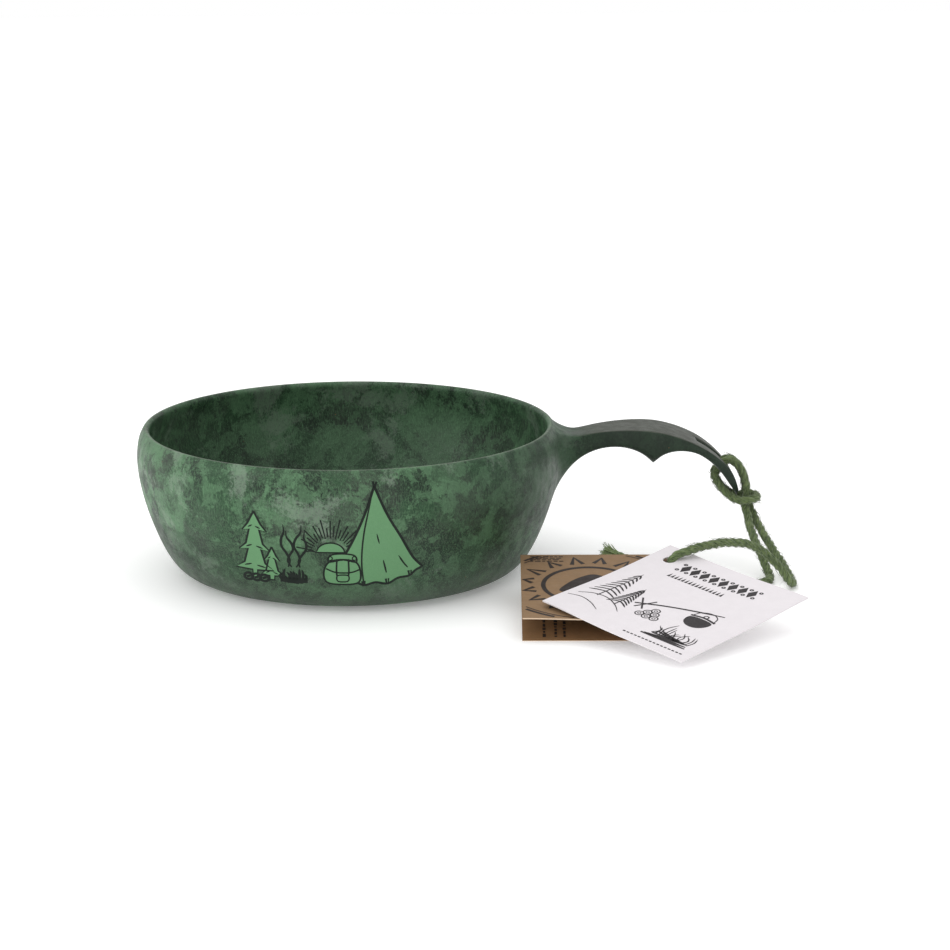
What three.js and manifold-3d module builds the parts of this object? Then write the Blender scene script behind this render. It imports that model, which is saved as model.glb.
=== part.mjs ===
// Bowl-type kuksa: a moulded cup with one arched handle, and a jute hanging cord that carries
// two paper labels. Millimetres, +Z up, +X along the handle, origin at the centre of the base.
import * as THREE from 'three';
import { mergeVertices } from 'three/addons/utils/BufferGeometryUtils.js';
import Module from 'manifold-3d';

// Bowl
const WALL_SEGMENTS = 48;
const FLOOR_THICKNESS = 3.2;
const LIP_RADIUS = 1.1;
const OUTER_WALL = [[50, 0], [56.5, 1.6], [61.6, 5.8], [66.9, 16.5], [70.7, 28], [72.7, 40], [71.9, 47.2]];
const INNER_WALL = [[68.3, 49.6], [69.2, 45], [69.4, 38], [67.4, 28.5], [63.7, 18.5], [58, 9.5], [44, FLOOR_THICKNESS]];
const LIP_CENTRE = [69.5, 50];

// Handle: side outline from root to tip and back, and half widths along its length
const HANDLE_TOP = [[60, 49], [70.5, 49.2], [77, 46.6], [85, 48.1], [97, 49], [108, 48.1], [118.5, 44.6],
  [127, 39], [132.6, 32.6], [134.9, 26]];
const TIP_REST = [[134.2, 24.4], [131.8, 28.1], [126, 35.8], [119, 40.9], [113, 41.8], [108, 40.3]];
const RIDGE = [104.5, 37.7];
const ROOT_REST = [[101, 40.4], [94, 42.9], [86, 42.2], [78, 37.9], [70, 27.4], [60, 12]];
const HALF_WIDTHS = [[60, 12], [68.5, 11.6], [73, 8.6], [78, 7.2], [84, 7.2], [92, 8.6], [104, 10.5], [112, 11.4],
  [118.5, 11.7], [124, 10.9], [129, 8.8], [133, 5.4], [134.9, 0]];

// Slot for the cord, cut square to the sloping end of the handle
const SLOT_LENGTH = 14.2;
const SLOT_WIDTH = 5.6;
const SLOT_CENTRE = new THREE.Vector3(125.8, 0, 38.9);
const SLOT_SLOPE = 40.4;
const SLOT_DEPTH = 14;

// Cord: two strands side by side in the slot, from the middle of the hitch's loop to the knot
const CORD_DIAMETER = 2.7;
const CORD_SIDES = 8;
const STRAND_OFFSET = 1.42;
const HITCH = [[141.6, 0.2, 23], [141.55, 1.5, 23], [140.7, 3.6, 23], [138.2, 4.9, 22.9], [134.9, 4, 22.6], [131.1, 2.9, 24.7],
  [128.3, 2.2, 28], [126.7, 1.6, 31], [127.4, STRAND_OFFSET, 32.9], [129.9, STRAND_OFFSET, 35.8],
  [131.6, STRAND_OFFSET, 36.6], [134, STRAND_OFFSET, 35.2], [135.9, STRAND_OFFSET, 32.8],
  [137.3, STRAND_OFFSET, 29.2]];
const UNDER_STRAND = [[137.9, -STRAND_OFFSET, 24], [137.5, -1.9, 20.3], [138.1, -4.6, 16.9], [138.4, -9, 14.1],
  [139.2, -13.8, 11.4], [140.6, -18.8, 7.9], [142, -23, 4.2], [142.8, -28, 1.7], [141.5, -33, 1.5],
  [136.5, -36.8, 1.5], [128, -38.5, 1.5], [118, -39.6, 1.5], [110.5, -40.3, 2.4], [105.2, -40.5, 4]];
const OVER_STRAND = [[138.1, STRAND_OFFSET, 24], [139, 1.3, 20], [140.9, -2, 15.8], [142.3, -6.9, 13],
  [143.9, -12, 10.3], [145.8, -17.5, 7.5], [147.6, -23, 5], [148.9, -28, 3], [149.4, -33, 1.7],
  [149.2, -37.6, 1.9], [147.6, -40.4, 3.6], [144.6, -41.2, 8], [138.9, -42, 13.8], [135.4, -43, 16.3],
  [131.7, -44.5, 17.9], [124.3, -48, 19.2], [115.5, -52.3, 18.9], [111.5, -54, 18.1], [108.4, -54.9, 17.3],
  [106.3, -55.1, 15.7], [105.4, -55.1, 13.2], [105.2, -55, 10.4], [104.9, -53.2, 7.6], [104, -49.8, 5.9],
  [102.8, -46.4, 5.2]];
const KNOT_CENTRE = new THREE.Vector3(100.8, -40.6, 4.7);
const KNOT_RADII = new THREE.Vector3(4.1, 4.4, 4.2);
const TAIL = [[99.5, -39, 6], [97, -35.6, 8.8], [93.6, -33, 10], [90.2, -31.2, 10.7], [87.2, -30.2, 11.1]];
const FRAY_RADIUS = 2.1;

// Labels
const CARD_THICKNESS = 0.5;
const CARD_HOLE_RADIUS = 3.2;
const CREASE_GAP = 0.3;
const THREAD_POINT = new THREE.Vector3(105.4, -55.1, 15.1);
const PICTURE_CARD = { width: 58.8, height: 62.4, holeFromLeft: 7.3, holeFromTop: 8.8, tilt: 9.5, turn: -46.9 };
const FOLD_CARD = { width: 57, depth: 55.2, holeFromEdge: 8.1, turn: -2.7, creaseHeight: 13.4 };
const FOLD_CARD_CREASE = new THREE.Vector3(56.7, -40.5, FOLD_CARD.creaseHeight);
const TOP_LEAF_TILT = 6.65;
const BOTTOM_LEAF_TILT = 13.6;
const LEAF_HOLE_FROM_CREASE = 12.4;

const wasm = await Module();
wasm.setup();
const radians = THREE.MathUtils.degToRad;

const materials = {
  composite: new THREE.MeshStandardMaterial({ color: 0x3c5c44, roughness: 0.55, metalness: 0 }),
  jute: new THREE.MeshStandardMaterial({ color: 0x5f7a3c, roughness: 0.9, metalness: 0 }),
  whiteCard: new THREE.MeshStandardMaterial({ color: 0xebe8eb, roughness: 0.6, metalness: 0 }),
  kraftCard: new THREE.MeshStandardMaterial({ color: 0xa58264, roughness: 0.85, metalness: 0 }),
};

function toSolid(geometry) {
  const bare = geometry.clone();
  bare.deleteAttribute('normal');
  bare.deleteAttribute('uv');
  const merged = mergeVertices(bare, 1e-4);
  return new wasm.Manifold(new wasm.Mesh({
    numProp: 3,
    vertProperties: new Float32Array(merged.attributes.position.array),
    triVerts: new Uint32Array(merged.index.array),
  }));
}

function toGeometry(solid) {
  const { vertProperties, triVerts } = solid.getMesh();
  const geometry = new THREE.BufferGeometry();
  geometry.setAttribute('position', new THREE.BufferAttribute(vertProperties, 3));
  geometry.setIndex(new THREE.BufferAttribute(triVerts, 1));
  return geometry;
}

const flat = ([x, y]) => new THREE.Vector2(x, y);

function smooth(points, count) {
  return new THREE.SplineCurve(points.map(flat)).getPoints(count);
}

// A profile of radius and height, turned about Z
function turned(profile) {
  const geometry = new THREE.LatheGeometry(profile, WALL_SEGMENTS);
  return geometry.rotateX(Math.PI / 2);
}

function lipArc() {
  const [r, z] = LIP_CENTRE;
  return [-10, 30, 70, 110, 150].map((degrees) => new THREE.Vector2(
    r + LIP_RADIUS * Math.cos(radians(degrees)), z + LIP_RADIUS * Math.sin(radians(degrees))));
}

function bowlOutside() {
  const wall = smooth(OUTER_WALL, 14);
  const lip = lipArc();
  const top = lip[2];
  return turned([new THREE.Vector2(0, 0), ...wall, ...lip.slice(0, 3), new THREE.Vector2(0, top.y)]);
}

function bowlInside() {
  const wall = smooth(INNER_WALL, 12);
  const lip = lipArc().slice(2);
  const above = new THREE.Vector2(lip[0].x, lip[0].y + 5);
  return turned([new THREE.Vector2(0, FLOOR_THICKNESS), ...wall.reverse(), ...lip.reverse(), above,
    new THREE.Vector2(0, above.y)]);
}

function handleSide() {
  const top = smooth(HANDLE_TOP, 26);
  const tipRest = smooth([HANDLE_TOP.at(-1), ...TIP_REST, RIDGE], 20).slice(1);
  const rootRest = smooth([RIDGE, ...ROOT_REST], 18).slice(1);
  const shape = new THREE.Shape([...top, ...tipRest, ...rootRest]);
  const depth = 40;
  return new THREE.ExtrudeGeometry(shape, { depth, bevelEnabled: false, steps: 1 })
    .translate(0, 0, -depth / 2).rotateX(Math.PI / 2);
}

function handlePlan() {
  const edge = smooth(HALF_WIDTHS, 30);
  const mirrored = edge.slice(0, -1).reverse().map((p) => new THREE.Vector2(p.x, -p.y));
  const shape = new THREE.Shape([...edge, ...mirrored]);
  return new THREE.ExtrudeGeometry(shape, { depth: 60, bevelEnabled: false, steps: 1 });
}

function slotCutter() {
  const [a, b, corner] = [SLOT_LENGTH / 2, SLOT_WIDTH / 2, 1.6];
  const shape = new THREE.Shape();
  shape.moveTo(-a + corner, -b);
  for (const [x, y, start] of [[a, -b, -90], [a, b, 0], [-a, b, 90], [-a, -b, 180]]) {
    const cx = x - Math.sign(x) * corner;
    const cy = y - Math.sign(y) * corner;
    shape.absarc(cx, cy, corner, radians(start), radians(start + 90), false);
  }
  return new THREE.ExtrudeGeometry(shape, { depth: SLOT_DEPTH, bevelEnabled: false, steps: 1, curveSegments: 3 })
    .translate(0, 0, -SLOT_DEPTH / 2).rotateY(radians(SLOT_SLOPE))
    .translate(SLOT_CENTRE.x, SLOT_CENTRE.y, SLOT_CENTRE.z);
}

function cupGeometry() {
  const handle = toSolid(handleSide()).intersect(toSolid(handlePlan()));
  const cup = toSolid(bowlOutside()).add(handle).subtract(toSolid(bowlInside())).subtract(toSolid(slotCutter()));
  return toGeometry(cup);
}

function tube(points, steps, radius = CORD_DIAMETER / 2) {
  const path = new THREE.CatmullRomCurve3(points.map((p) => new THREE.Vector3(...p)), false, 'centripetal');
  const section = new THREE.Shape();
  section.absarc(0, 0, radius, 0, 2 * Math.PI, false);
  return new THREE.ExtrudeGeometry(section, { steps, curveSegments: CORD_SIDES, extrudePath: path });
}

const mirrorY = (points) => points.map(([x, y, z]) => [x, -y, z]);

function knotGeometry() {
  const ball = new THREE.SphereGeometry(1, 12, 8).scale(KNOT_RADII.x, KNOT_RADII.y, KNOT_RADII.z)
    .translate(KNOT_CENTRE.x, KNOT_CENTRE.y, KNOT_CENTRE.z);
  const tuft = tube(TAIL.slice(-2), 1, FRAY_RADIUS);
  return toGeometry(toSolid(ball).add(toSolid(tube(TAIL, 6))).add(toSolid(tuft)));
}

// A flat card with its hole at the origin, lying in X and Y, its thickness centred on Z
function card(left, right, bottom, top) {
  const shape = new THREE.Shape([[left, bottom], [right, bottom], [right, top], [left, top]].map(flat));
  const hole = new THREE.Path();
  hole.absarc(0, 0, CARD_HOLE_RADIUS, 0, 2 * Math.PI, true);
  shape.holes.push(hole);
  return new THREE.ExtrudeGeometry(shape, { depth: CARD_THICKNESS, bevelEnabled: false, curveSegments: 12 })
    .translate(0, 0, -CARD_THICKNESS / 2);
}

function pictureCard() {
  const { width, height, holeFromLeft, holeFromTop, tilt, turn } = PICTURE_CARD;
  const mesh = new THREE.Mesh(
    card(-holeFromLeft, width - holeFromLeft, holeFromTop - height, holeFromTop), materials.whiteCard);
  mesh.name = 'picture_card';
  mesh.rotation.z = radians(turn);
  const placed = new THREE.Group();
  placed.add(mesh);
  placed.rotation.x = radians(tilt);
  placed.position.copy(THREAD_POINT);
  return placed;
}

// One leaf of the folded card: its group stands at the left end of the crease
function leaf(name, tilt, lift) {
  const { width, depth, holeFromEdge } = FOLD_CARD;
  const right = holeFromEdge;
  const mesh = new THREE.Mesh(
    card(right - width, right, LEAF_HOLE_FROM_CREASE - depth, LEAF_HOLE_FROM_CREASE), materials.kraftCard);
  mesh.name = name;
  mesh.position.set(width - holeFromEdge, -LEAF_HOLE_FROM_CREASE, lift);
  const placed = new THREE.Group();
  placed.add(mesh);
  placed.rotation.x = radians(tilt);
  return placed;
}

function foldCard() {
  const group = new THREE.Group();
  const lift = (CREASE_GAP + CARD_THICKNESS) / 2;
  group.add(leaf('fold_card_top_leaf', TOP_LEAF_TILT, lift));
  group.add(leaf('fold_card_bottom_leaf', BOTTOM_LEAF_TILT, -lift));
  group.rotation.z = radians(FOLD_CARD.turn);
  group.position.copy(FOLD_CARD_CREASE);
  return group;
}

function piece(name, geometry, material) {
  const mesh = new THREE.Mesh(geometry, material);
  mesh.name = name;
  return mesh;
}

const kuksa = new THREE.Group();
kuksa.add(piece('cup_body', cupGeometry(), materials.composite));
kuksa.add(piece('cord_under_strand', tube([...mirrorY(HITCH), ...UNDER_STRAND], 36), materials.jute));
kuksa.add(piece('cord_over_strand', tube([...HITCH, ...OVER_STRAND], 44), materials.jute));
kuksa.add(piece('cord_knot', knotGeometry(), materials.jute));
kuksa.add(pictureCard());
kuksa.add(foldCard());
export default kuksa;
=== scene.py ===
"""A bowl cup of moulded wood-fibre composite, with a finger-grip handle, a jute cord and card labels."""

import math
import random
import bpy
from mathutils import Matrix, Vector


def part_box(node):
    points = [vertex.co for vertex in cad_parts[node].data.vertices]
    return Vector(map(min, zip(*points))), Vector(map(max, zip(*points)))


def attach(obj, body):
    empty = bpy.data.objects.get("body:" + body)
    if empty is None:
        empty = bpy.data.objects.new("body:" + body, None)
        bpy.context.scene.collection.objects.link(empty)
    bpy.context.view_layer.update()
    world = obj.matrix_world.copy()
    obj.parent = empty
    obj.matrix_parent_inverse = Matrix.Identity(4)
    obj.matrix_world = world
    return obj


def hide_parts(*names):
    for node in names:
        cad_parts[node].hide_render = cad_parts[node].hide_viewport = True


bl_info = {
    "name": "Kuksa Bowl Cup",
    "version": (1, 0, 0),
    "blender": (4, 5, 0),
    "location": "3D View > Sidebar > Kuksa",
    "description": "Models a composite kuksa cup with its cord, knot and hanging labels",
    "category": "Add Mesh",
}

import bmesh
import bpy
from mathutils import Euler, Matrix, Vector
from mathutils.bvhtree import BVHTree

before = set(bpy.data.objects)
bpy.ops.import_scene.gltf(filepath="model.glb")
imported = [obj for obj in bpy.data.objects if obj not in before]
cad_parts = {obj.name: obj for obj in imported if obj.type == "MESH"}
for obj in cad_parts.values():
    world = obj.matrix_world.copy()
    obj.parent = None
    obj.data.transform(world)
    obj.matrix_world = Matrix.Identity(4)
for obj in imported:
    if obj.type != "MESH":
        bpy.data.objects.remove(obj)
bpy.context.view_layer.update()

MM = 0.001
CUP_BODY = "cup"
CARD_BODY = "picture_card"
TOP_LEAF_BODY = "fold_card_top"
BOTTOM_LEAF_BODY = "fold_card_bottom"

# Bowl and handle outlines, radius or length against height, in millimetres
OUTER_WALL = [(50, 0), (56.5, 1.6), (61.6, 5.8), (66.9, 16.5), (70.7, 28), (72.7, 40), (71.9, 47.2)]
INNER_WALL = [(68.3, 49.6), (69.2, 45), (69.4, 38), (67.4, 28.5), (63.7, 18.5), (58, 9.5), (44, 3.2)]
OUTER_HEIGHTS = (0.35, 1.5, 3.3, 6, 11, 16.5, 22.2, 28, 34.6, 41.2, 47.2)
INNER_HEIGHTS = (48.4, 45.6, 41.5, 36.5, 31, 25.5, 20, 15, 10.8, 7.6, 5.2, 3.7)
LIP_RINGS = ((71.15, 49.3), (70.45, 50.7), (69.6, 51.1), (68.8, 50.75), (68.35, 49.8))
FLOOR_HEIGHT = 3.2
FLOOR_RADII = (42, 36)
BASE_RINGS = ((48.5, 0.0), (46, 0.06), (44.6, 0.4), (40, 0.45))
BOWL_SEGMENTS = 80
WALL_ALLOWANCE = 0.35  # what subdivision takes off the round wall
FIRST_RING_SPREAD = 1.6  # of the first ring past the foot of the wall
FIRST_RING_REACH = 53.5  # a radius that only that ring lies within, at its height
INSIDE_RADIUS = 69.7  # faces within it, above INSIDE_BOTTOM, take the inner material, darkened as painted shade
INSIDE_BOTTOM = 2.5

# The handle's foot on the wall, and its outlines
HANDLE_COLUMNS = 4
HANDLE_ROWS = 4
HANDLE_FOOT = (28, 49.3)
FOOT_MIN_RADIUS = 70.5
FOOT_X = 72.0
FOOT_WALL_RADIUS = 72.2

HANDLE_TOP = [
    (60, 49), (70.5, 49.2), (77, 46.6), (85, 48.1), (97, 49), (108, 48.1), (118.5, 44.6),
    (127, 39), (132.6, 32.6), (135.3, 25.2),
]
TIP_REST = [(134.6, 23.6), (131.8, 28.1), (126, 35.8), (119, 40.9), (113, 41.8), (108, 40.3)]
RIDGE = (104.5, 37.1)
ROOT_REST = [(101, 40.4), (94, 42.9), (86, 42.2), (78, 37.9), (70, 27.4), (60, 12)]
HALF_WIDTHS = [
    (60, 12), (68.5, 11.6), (73, 8.6), (78, 7.2), (84, 7.2), (92, 8.6), (104, 10.5), (112, 11.4),
    (118.5, 11.7), (124, 10.9), (129, 8.8), (133, 5.6), (135.3, 0),
]
# Upper and lower end of each section, as lengths from the bowl's middle
HANDLE_SECTIONS = [
    (74.2, 73.4), (78, 77.2), (83, 82.3), (89, 88.4), (95, 94.6), (99.6, 99.4), (102.6, 102.4),
    (104.6, 104.5), (106.8, 106.6), (110, 109.2), (115, 113.4), (120.2, 118.1), (123.2, 120.9),
    (126, 123.6), (128.8, 126.3), (131.3, 128.7), (133.3, 131), (134.7, 133.2), (135.2, 134.5),
]
SLOT_SECTIONS = (11, 15)
SLOT_HALF_WIDTH = 2.8
SLOT_START = 116
SLOT_EDGE_REACH = 8.2  # how far from the middle the slot's edges are drawn in
RIDGE_CREASE_TOP = 38.2
# Where the handle's painted sheen and wear begin along its length, and how far they fade in
RUBBED_SHEEN_START, RUBBED_SHEEN_FADE = 76, 10

# Cord routes in millimetres, from the middle of the hitch loop
STRAND_OFFSET = 1.42
HITCH = [
    (141.6, 0.2, 23), (141.55, 1.5, 23), (140.7, 3.6, 23), (138.2, 4.9, 22.9), (134.9, 4, 22.6),
    (131.1, 2.9, 24.7), (128.3, 2.2, 28), (126.7, 1.6, 31), (127.4, STRAND_OFFSET, 32.9),
    (129.9, STRAND_OFFSET, 35.8), (131.6, STRAND_OFFSET, 36.6), (134, STRAND_OFFSET, 35.2),
    (135.9, STRAND_OFFSET, 32.8), (137.3, STRAND_OFFSET, 29.2),
]
UNDER_STRAND = [
    (137.9, -STRAND_OFFSET, 24), (137.5, -1.9, 20.3), (138.1, -4.6, 16.9), (138.4, -9, 14.1),
    (139.2, -13.8, 11.4), (140.6, -18.8, 7.9), (142, -23, 4.2), (142.8, -28, 1.7),
    (141.5, -33, 1.5), (136.5, -36.8, 1.5), (128, -38.5, 1.5), (118, -39.6, 1.5),
    (110.5, -40.3, 2.4), (105.2, -40.5, 4),
]
OVER_STRAND = [
    (138.1, STRAND_OFFSET, 24), (139, 1.3, 20), (140.9, -2, 15.8), (142.3, -6.9, 13),
    (143.9, -12, 10.3), (145.8, -17.5, 7.5), (147.6, -23, 5), (148.9, -28, 3), (149.4, -33, 1.7),
    (149.2, -37.6, 1.9), (147.6, -40.4, 3.6), (144.6, -41.2, 8), (138.9, -42, 13.8),
    (135.4, -43, 16.3), (131.7, -44.5, 17.9), (124.3, -48, 19.2), (115.5, -52.3, 18.9),
    (111.5, -54, 18.1), (108.4, -54.9, 17.3), (106.3, -55.1, 15.7), (105.4, -55.1, 13.2),
    (105.2, -55, 10.4), (104.9, -53.2, 7.6), (104, -49.8, 5.9), (102.8, -46.4, 5.2),
]
RESTING_HEIGHT = 1.53  # of the cord's middle where it lies on the table
BARE_END = 35  # steps before the knot that stay free of loose fibres
CORD_STEP = 0.6
PLY_COUNT = 3
PLY_SIDES, FIBRE_SIDES, TUFT_SIDES = 10, 3, 5
PLY_TONE = 31.0  # apart, so that each ply has its own streaks
TONE_RANGE = 90
LONGEST_FIBRE = 4.5
FIBRE_TAPER = (1, 1, 0.85, 0.65, 0.3)
FIBRE_CLEARANCE = 0.1
TUFT_FIBRES = 190
TUFT_LENGTH = 5.5
TUFT_TAPER = (1, 1, 0.95, 0.9, 0.6)
KNOT_STEPS = 120
UNDER_LENGTH = 125.4
OVER_LENGTH = 166.1
KNOT_CENTRE = (100.8, -40.6, 4.7)
KNOT_RADII = (4.1, 4.4, 4.2)
TAIL = [(99.5, -39, 6), (97, -35.6, 8.8), (93.6, -33, 10), (90.2, -31.2, 10.7), (87.2, -30.2, 11.1)]

# Labels
THREAD_POINT = Vector((105.4, -55.1, 15.1)) * MM
PICTURE_CARD = {"width": 58.8, "height": 62.4, "from_left": 7.3, "from_top": 8.8}
PICTURE_CARD_TILT = 9.5
PICTURE_CARD_TURN = -46.9
FOLD_CARD = {"width": 57, "depth": 55.2, "from_right": 8.1, "from_crease": 12.4}
FOLD_CARD_CREASE = Vector((56.7, -40.5, 13.4)) * MM
FOLD_CARD_TURN = -2.7
TOP_LEAF_TILT = 6.65
BOTTOM_LEAF_TILT = 13.6
LEAF_GAP = 0.4
LEAF_LEFT = 0.15
# Left, right, front and back of the fields that hold the chevrons and the arcs
CHEVRON_FIELD = (1.0, 56, -54.3, -0.9)
ARC_FIELD = (1.0, 56.2, -54.3, -1.0)
CARD_CUTS = 19
HOLE_VERTICES = 48
CREASE_VERTICES = 32
DEEP_KRAFT = 0.72  # share of the stock's own tone

# Prints
INK_THICKNESS = 0.02
BOWL_LINE_WEIGHT = 1.35
BOWL_PRINT_PLANE = -90
CARD_PRINT_PLANE = 12
INK_RAY_START = 20
INK_SEARCH = 12
INK_MISS = 2  # a point further than this from its surface is an error
BOWL_CUT, CARD_CUT, LEAF_CUT = 2.5, 4.0, 6.0  # the longest side of a print's faces

SEEDS = {"fibres": 5, "tuft": 41, "campfire": 3, "picture": 8, "top_leaf": 12, "bottom_leaf": 6}

# View and stage
CAMERA_PLACE = (0, -1.008897, 0.276965)
CAMERA_ANGLES = (76.35791, 0.18738, -2.51261)  # degrees about X, Y and Z
CAMERA_LENS = 113.684
FLOOR_SIZE = 4.4
LIGHT_AIM = (0.03, 0, 0.03)
WHITE = (1, 1, 1, 1)


# ---------------------------------------------------------------- curves

def bend(before, start, end, after, t):
    """A point of the round curve from start to end, which passes through all four points."""
    first = max((start - before).length, 1e-9) ** 0.5
    middle = max((end - start).length, 1e-9) ** 0.5
    last = max((after - end).length, 1e-9) ** 0.5
    leaving = ((start - before) / first - (end - before) / (first + middle)) * middle + (end - start)
    arriving = ((after - end) / last - (after - start) / (middle + last)) * middle + (end - start)
    square, cube = t * t, t * t * t
    return (
        start * (2 * cube - 3 * square + 1)
        + leaving * (cube - 2 * square + t)
        + end * (3 * square - 2 * cube)
        + arriving * (cube - square)
    )


def smooth(points, per_span, closed=False):
    """The round curve through the points, with per_span steps between each two."""
    knots = [Vector(p) for p in points]
    count = len(knots)
    if closed:
        knots = [knots[-1]] + knots + [knots[0], knots[1]]
    else:
        knots = [knots[0] * 2 - knots[1]] + knots + [knots[-1] * 2 - knots[-2]]
    spans = count if closed else count - 1
    line = []
    for i in range(spans):
        for k in range(per_span):
            line.append(bend(knots[i], knots[i + 1], knots[i + 2], knots[i + 3], k / per_span))
    if not closed:
        line.append(knots[-2].copy())
    return line


def evenly(line, step):
    """The same line with its points step apart."""
    lengths = [0.0]
    for a, b in zip(line, line[1:]):
        lengths.append(lengths[-1] + (b - a).length)
    count = max(1, round(lengths[-1] / step))
    out, k = [], 0
    for i in range(count + 1):
        want = lengths[-1] * i / count
        while k < len(line) - 2 and lengths[k + 1] < want:
            k += 1
        span = max(lengths[k + 1] - lengths[k], 1e-12)
        out.append(line[k].lerp(line[k + 1], (want - lengths[k]) / span))
    return out


def value_at(outline, place, along=0, across=1):
    """The outline's value across, where its value along reaches place."""
    line = smooth(outline, 24)
    for a, b in zip(line, line[1:]):
        low, high = sorted((a[along], b[along]))
        if low <= place <= high and high > low:
            share = (place - a[along]) / (b[along] - a[along])
            return a[across] + (b[across] - a[across]) * share
    return min((line[0], line[-1]), key=lambda end: abs(end[along] - place))[across]


def frames_along(line):
    """A side and an up direction at each point of a line, which turn with it and don't spin."""
    forward = (line[1] - line[0]).normalized()
    side = forward.orthogonal().normalized()
    out = []
    for i in range(len(line)):
        ahead = (line[min(i + 1, len(line) - 1)] - line[max(i - 1, 0)]).normalized()
        side = (side - ahead * side.dot(ahead)).normalized()
        out.append((side, ahead.cross(side)))
    return out


# ---------------------------------------------------------------- mesh helpers

def deselect():
    """Nothing is selected, and no object is being edited."""
    if bpy.context.object and bpy.context.object.mode != "OBJECT":
        bpy.ops.object.mode_set(mode="OBJECT")
    bpy.ops.object.select_all(action="DESELECT")


def choose(piece):
    """Only this piece is selected, and it is the active one."""
    deselect()
    piece.select_set(True)
    bpy.context.view_layer.objects.active = piece


def edit(piece, everything=False):
    """Starts editing the piece's mesh with nothing or everything selected."""
    choose(piece)
    bpy.ops.object.mode_set(mode="EDIT")
    bpy.ops.mesh.select_all(action="SELECT" if everything else "DESELECT")


def pick(piece, kind, test):
    """Selects the verts, edges or faces that pass the test, in edit mode, and raises if none do."""
    bpy.ops.mesh.select_all(action="DESELECT")
    bpy.ops.mesh.select_mode(type={"verts": "VERT", "edges": "EDGE", "faces": "FACE"}[kind])
    mesh = bmesh.from_edit_mesh(piece.data)
    found = 0
    for element in getattr(mesh, kind):
        if test(element):
            element.select_set(True)
            found += 1
    if kind != "faces":
        mesh.select_flush(True)
    bmesh.update_edit_mesh(piece.data)
    if not found:
        raise RuntimeError(f"{piece.name}: nothing was found to select among its {kind}")
    return found


def turn(angle, axis, centre):
    """Turns the selection right-handed about an axis, in radians."""
    bpy.ops.transform.rotate(value=-angle, orient_axis=axis, center_override=centre)


def apply_modifier(piece, kind, **settings):
    """Adds a modifier with these settings and applies it."""
    choose(piece)
    modifier = piece.modifiers.new(kind.title(), kind)
    for key, value in settings.items():
        setattr(modifier, key, value)
    bpy.ops.object.modifier_apply(modifier=modifier.name)


def shade_smooth(piece):
    """Shades the whole piece smooth."""
    choose(piece)
    bpy.ops.object.shade_smooth()


def settle(piece, matrix):
    """Places the piece by its mesh, so that its object sits at the origin."""
    piece.matrix_world = matrix
    choose(piece)
    bpy.ops.object.transform_apply(location=True, rotation=True, scale=True)


def finish_piece(piece, body, slot, *nodes):
    """The piece rides on its body and stands for its CAD nodes; slot is not used."""
    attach(piece, body)
    if nodes:
        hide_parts(*nodes)


def mesh_piece(name, points, faces, uvs=None):
    """A new object from points and faces, with the round coordinates of a tube if they are given."""
    mesh = bpy.data.meshes.new(name)
    mesh.from_pydata(points, [], faces)
    if uvs:
        layer = mesh.uv_layers.new(name="Yarn")
        for loop, uv in zip(layer.data, uvs):
            loop.uv = uv
    mesh.validate()
    piece = bpy.data.objects.new(name, mesh)
    bpy.context.scene.collection.objects.link(piece)
    return piece


class TubeMesh:
    """Collects closed tubes of round section in one mesh, each with its length and turn as UV."""

    def __init__(self):
        self.points, self.faces, self.uvs = [], [], []

    def add(self, line, radii, sides, tone):
        """A tube along a line, with one radius for each point. Tone is added to its UV length."""
        base = len(self.points)
        far = 0.0
        lengths = []
        for i, (point, (side, up)) in enumerate(zip(line, frames_along(line))):
            far += (point - line[i - 1]).length if i else 0.0
            lengths.append(far)
            for k in range(sides):
                angle = 2 * math.pi * k / sides
                self.points.append(point + (side * math.cos(angle) + up * math.sin(angle)) * radii[i])
        for i in range(len(line) - 1):
            for k in range(sides):
                a, b = base + i * sides + k, base + i * sides + (k + 1) % sides
                self.faces.append((a, b, b + sides, a + sides))
                u0, u1 = k / sides, (k + 1) / sides
                v0, v1 = lengths[i] / MM + tone, lengths[i + 1] / MM + tone
                self.uvs += [(u0, v0), (u1, v0), (u1, v1), (u0, v1)]
        first = tuple(base + k for k in reversed(range(sides)))
        last = tuple(base + (len(line) - 1) * sides + k for k in range(sides))
        for cap, at in ((first, lengths[0]), (last, lengths[-1])):
            self.faces.append(cap)
            self.uvs += [(0.5, at / MM + tone)] * sides

    def piece(self, name):
        """The collected tubes as one smooth object."""
        made = mesh_piece(name, self.points, self.faces, self.uvs)
        shade_smooth(made)
        return made


# ---------------------------------------------------------------- shader helpers

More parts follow.
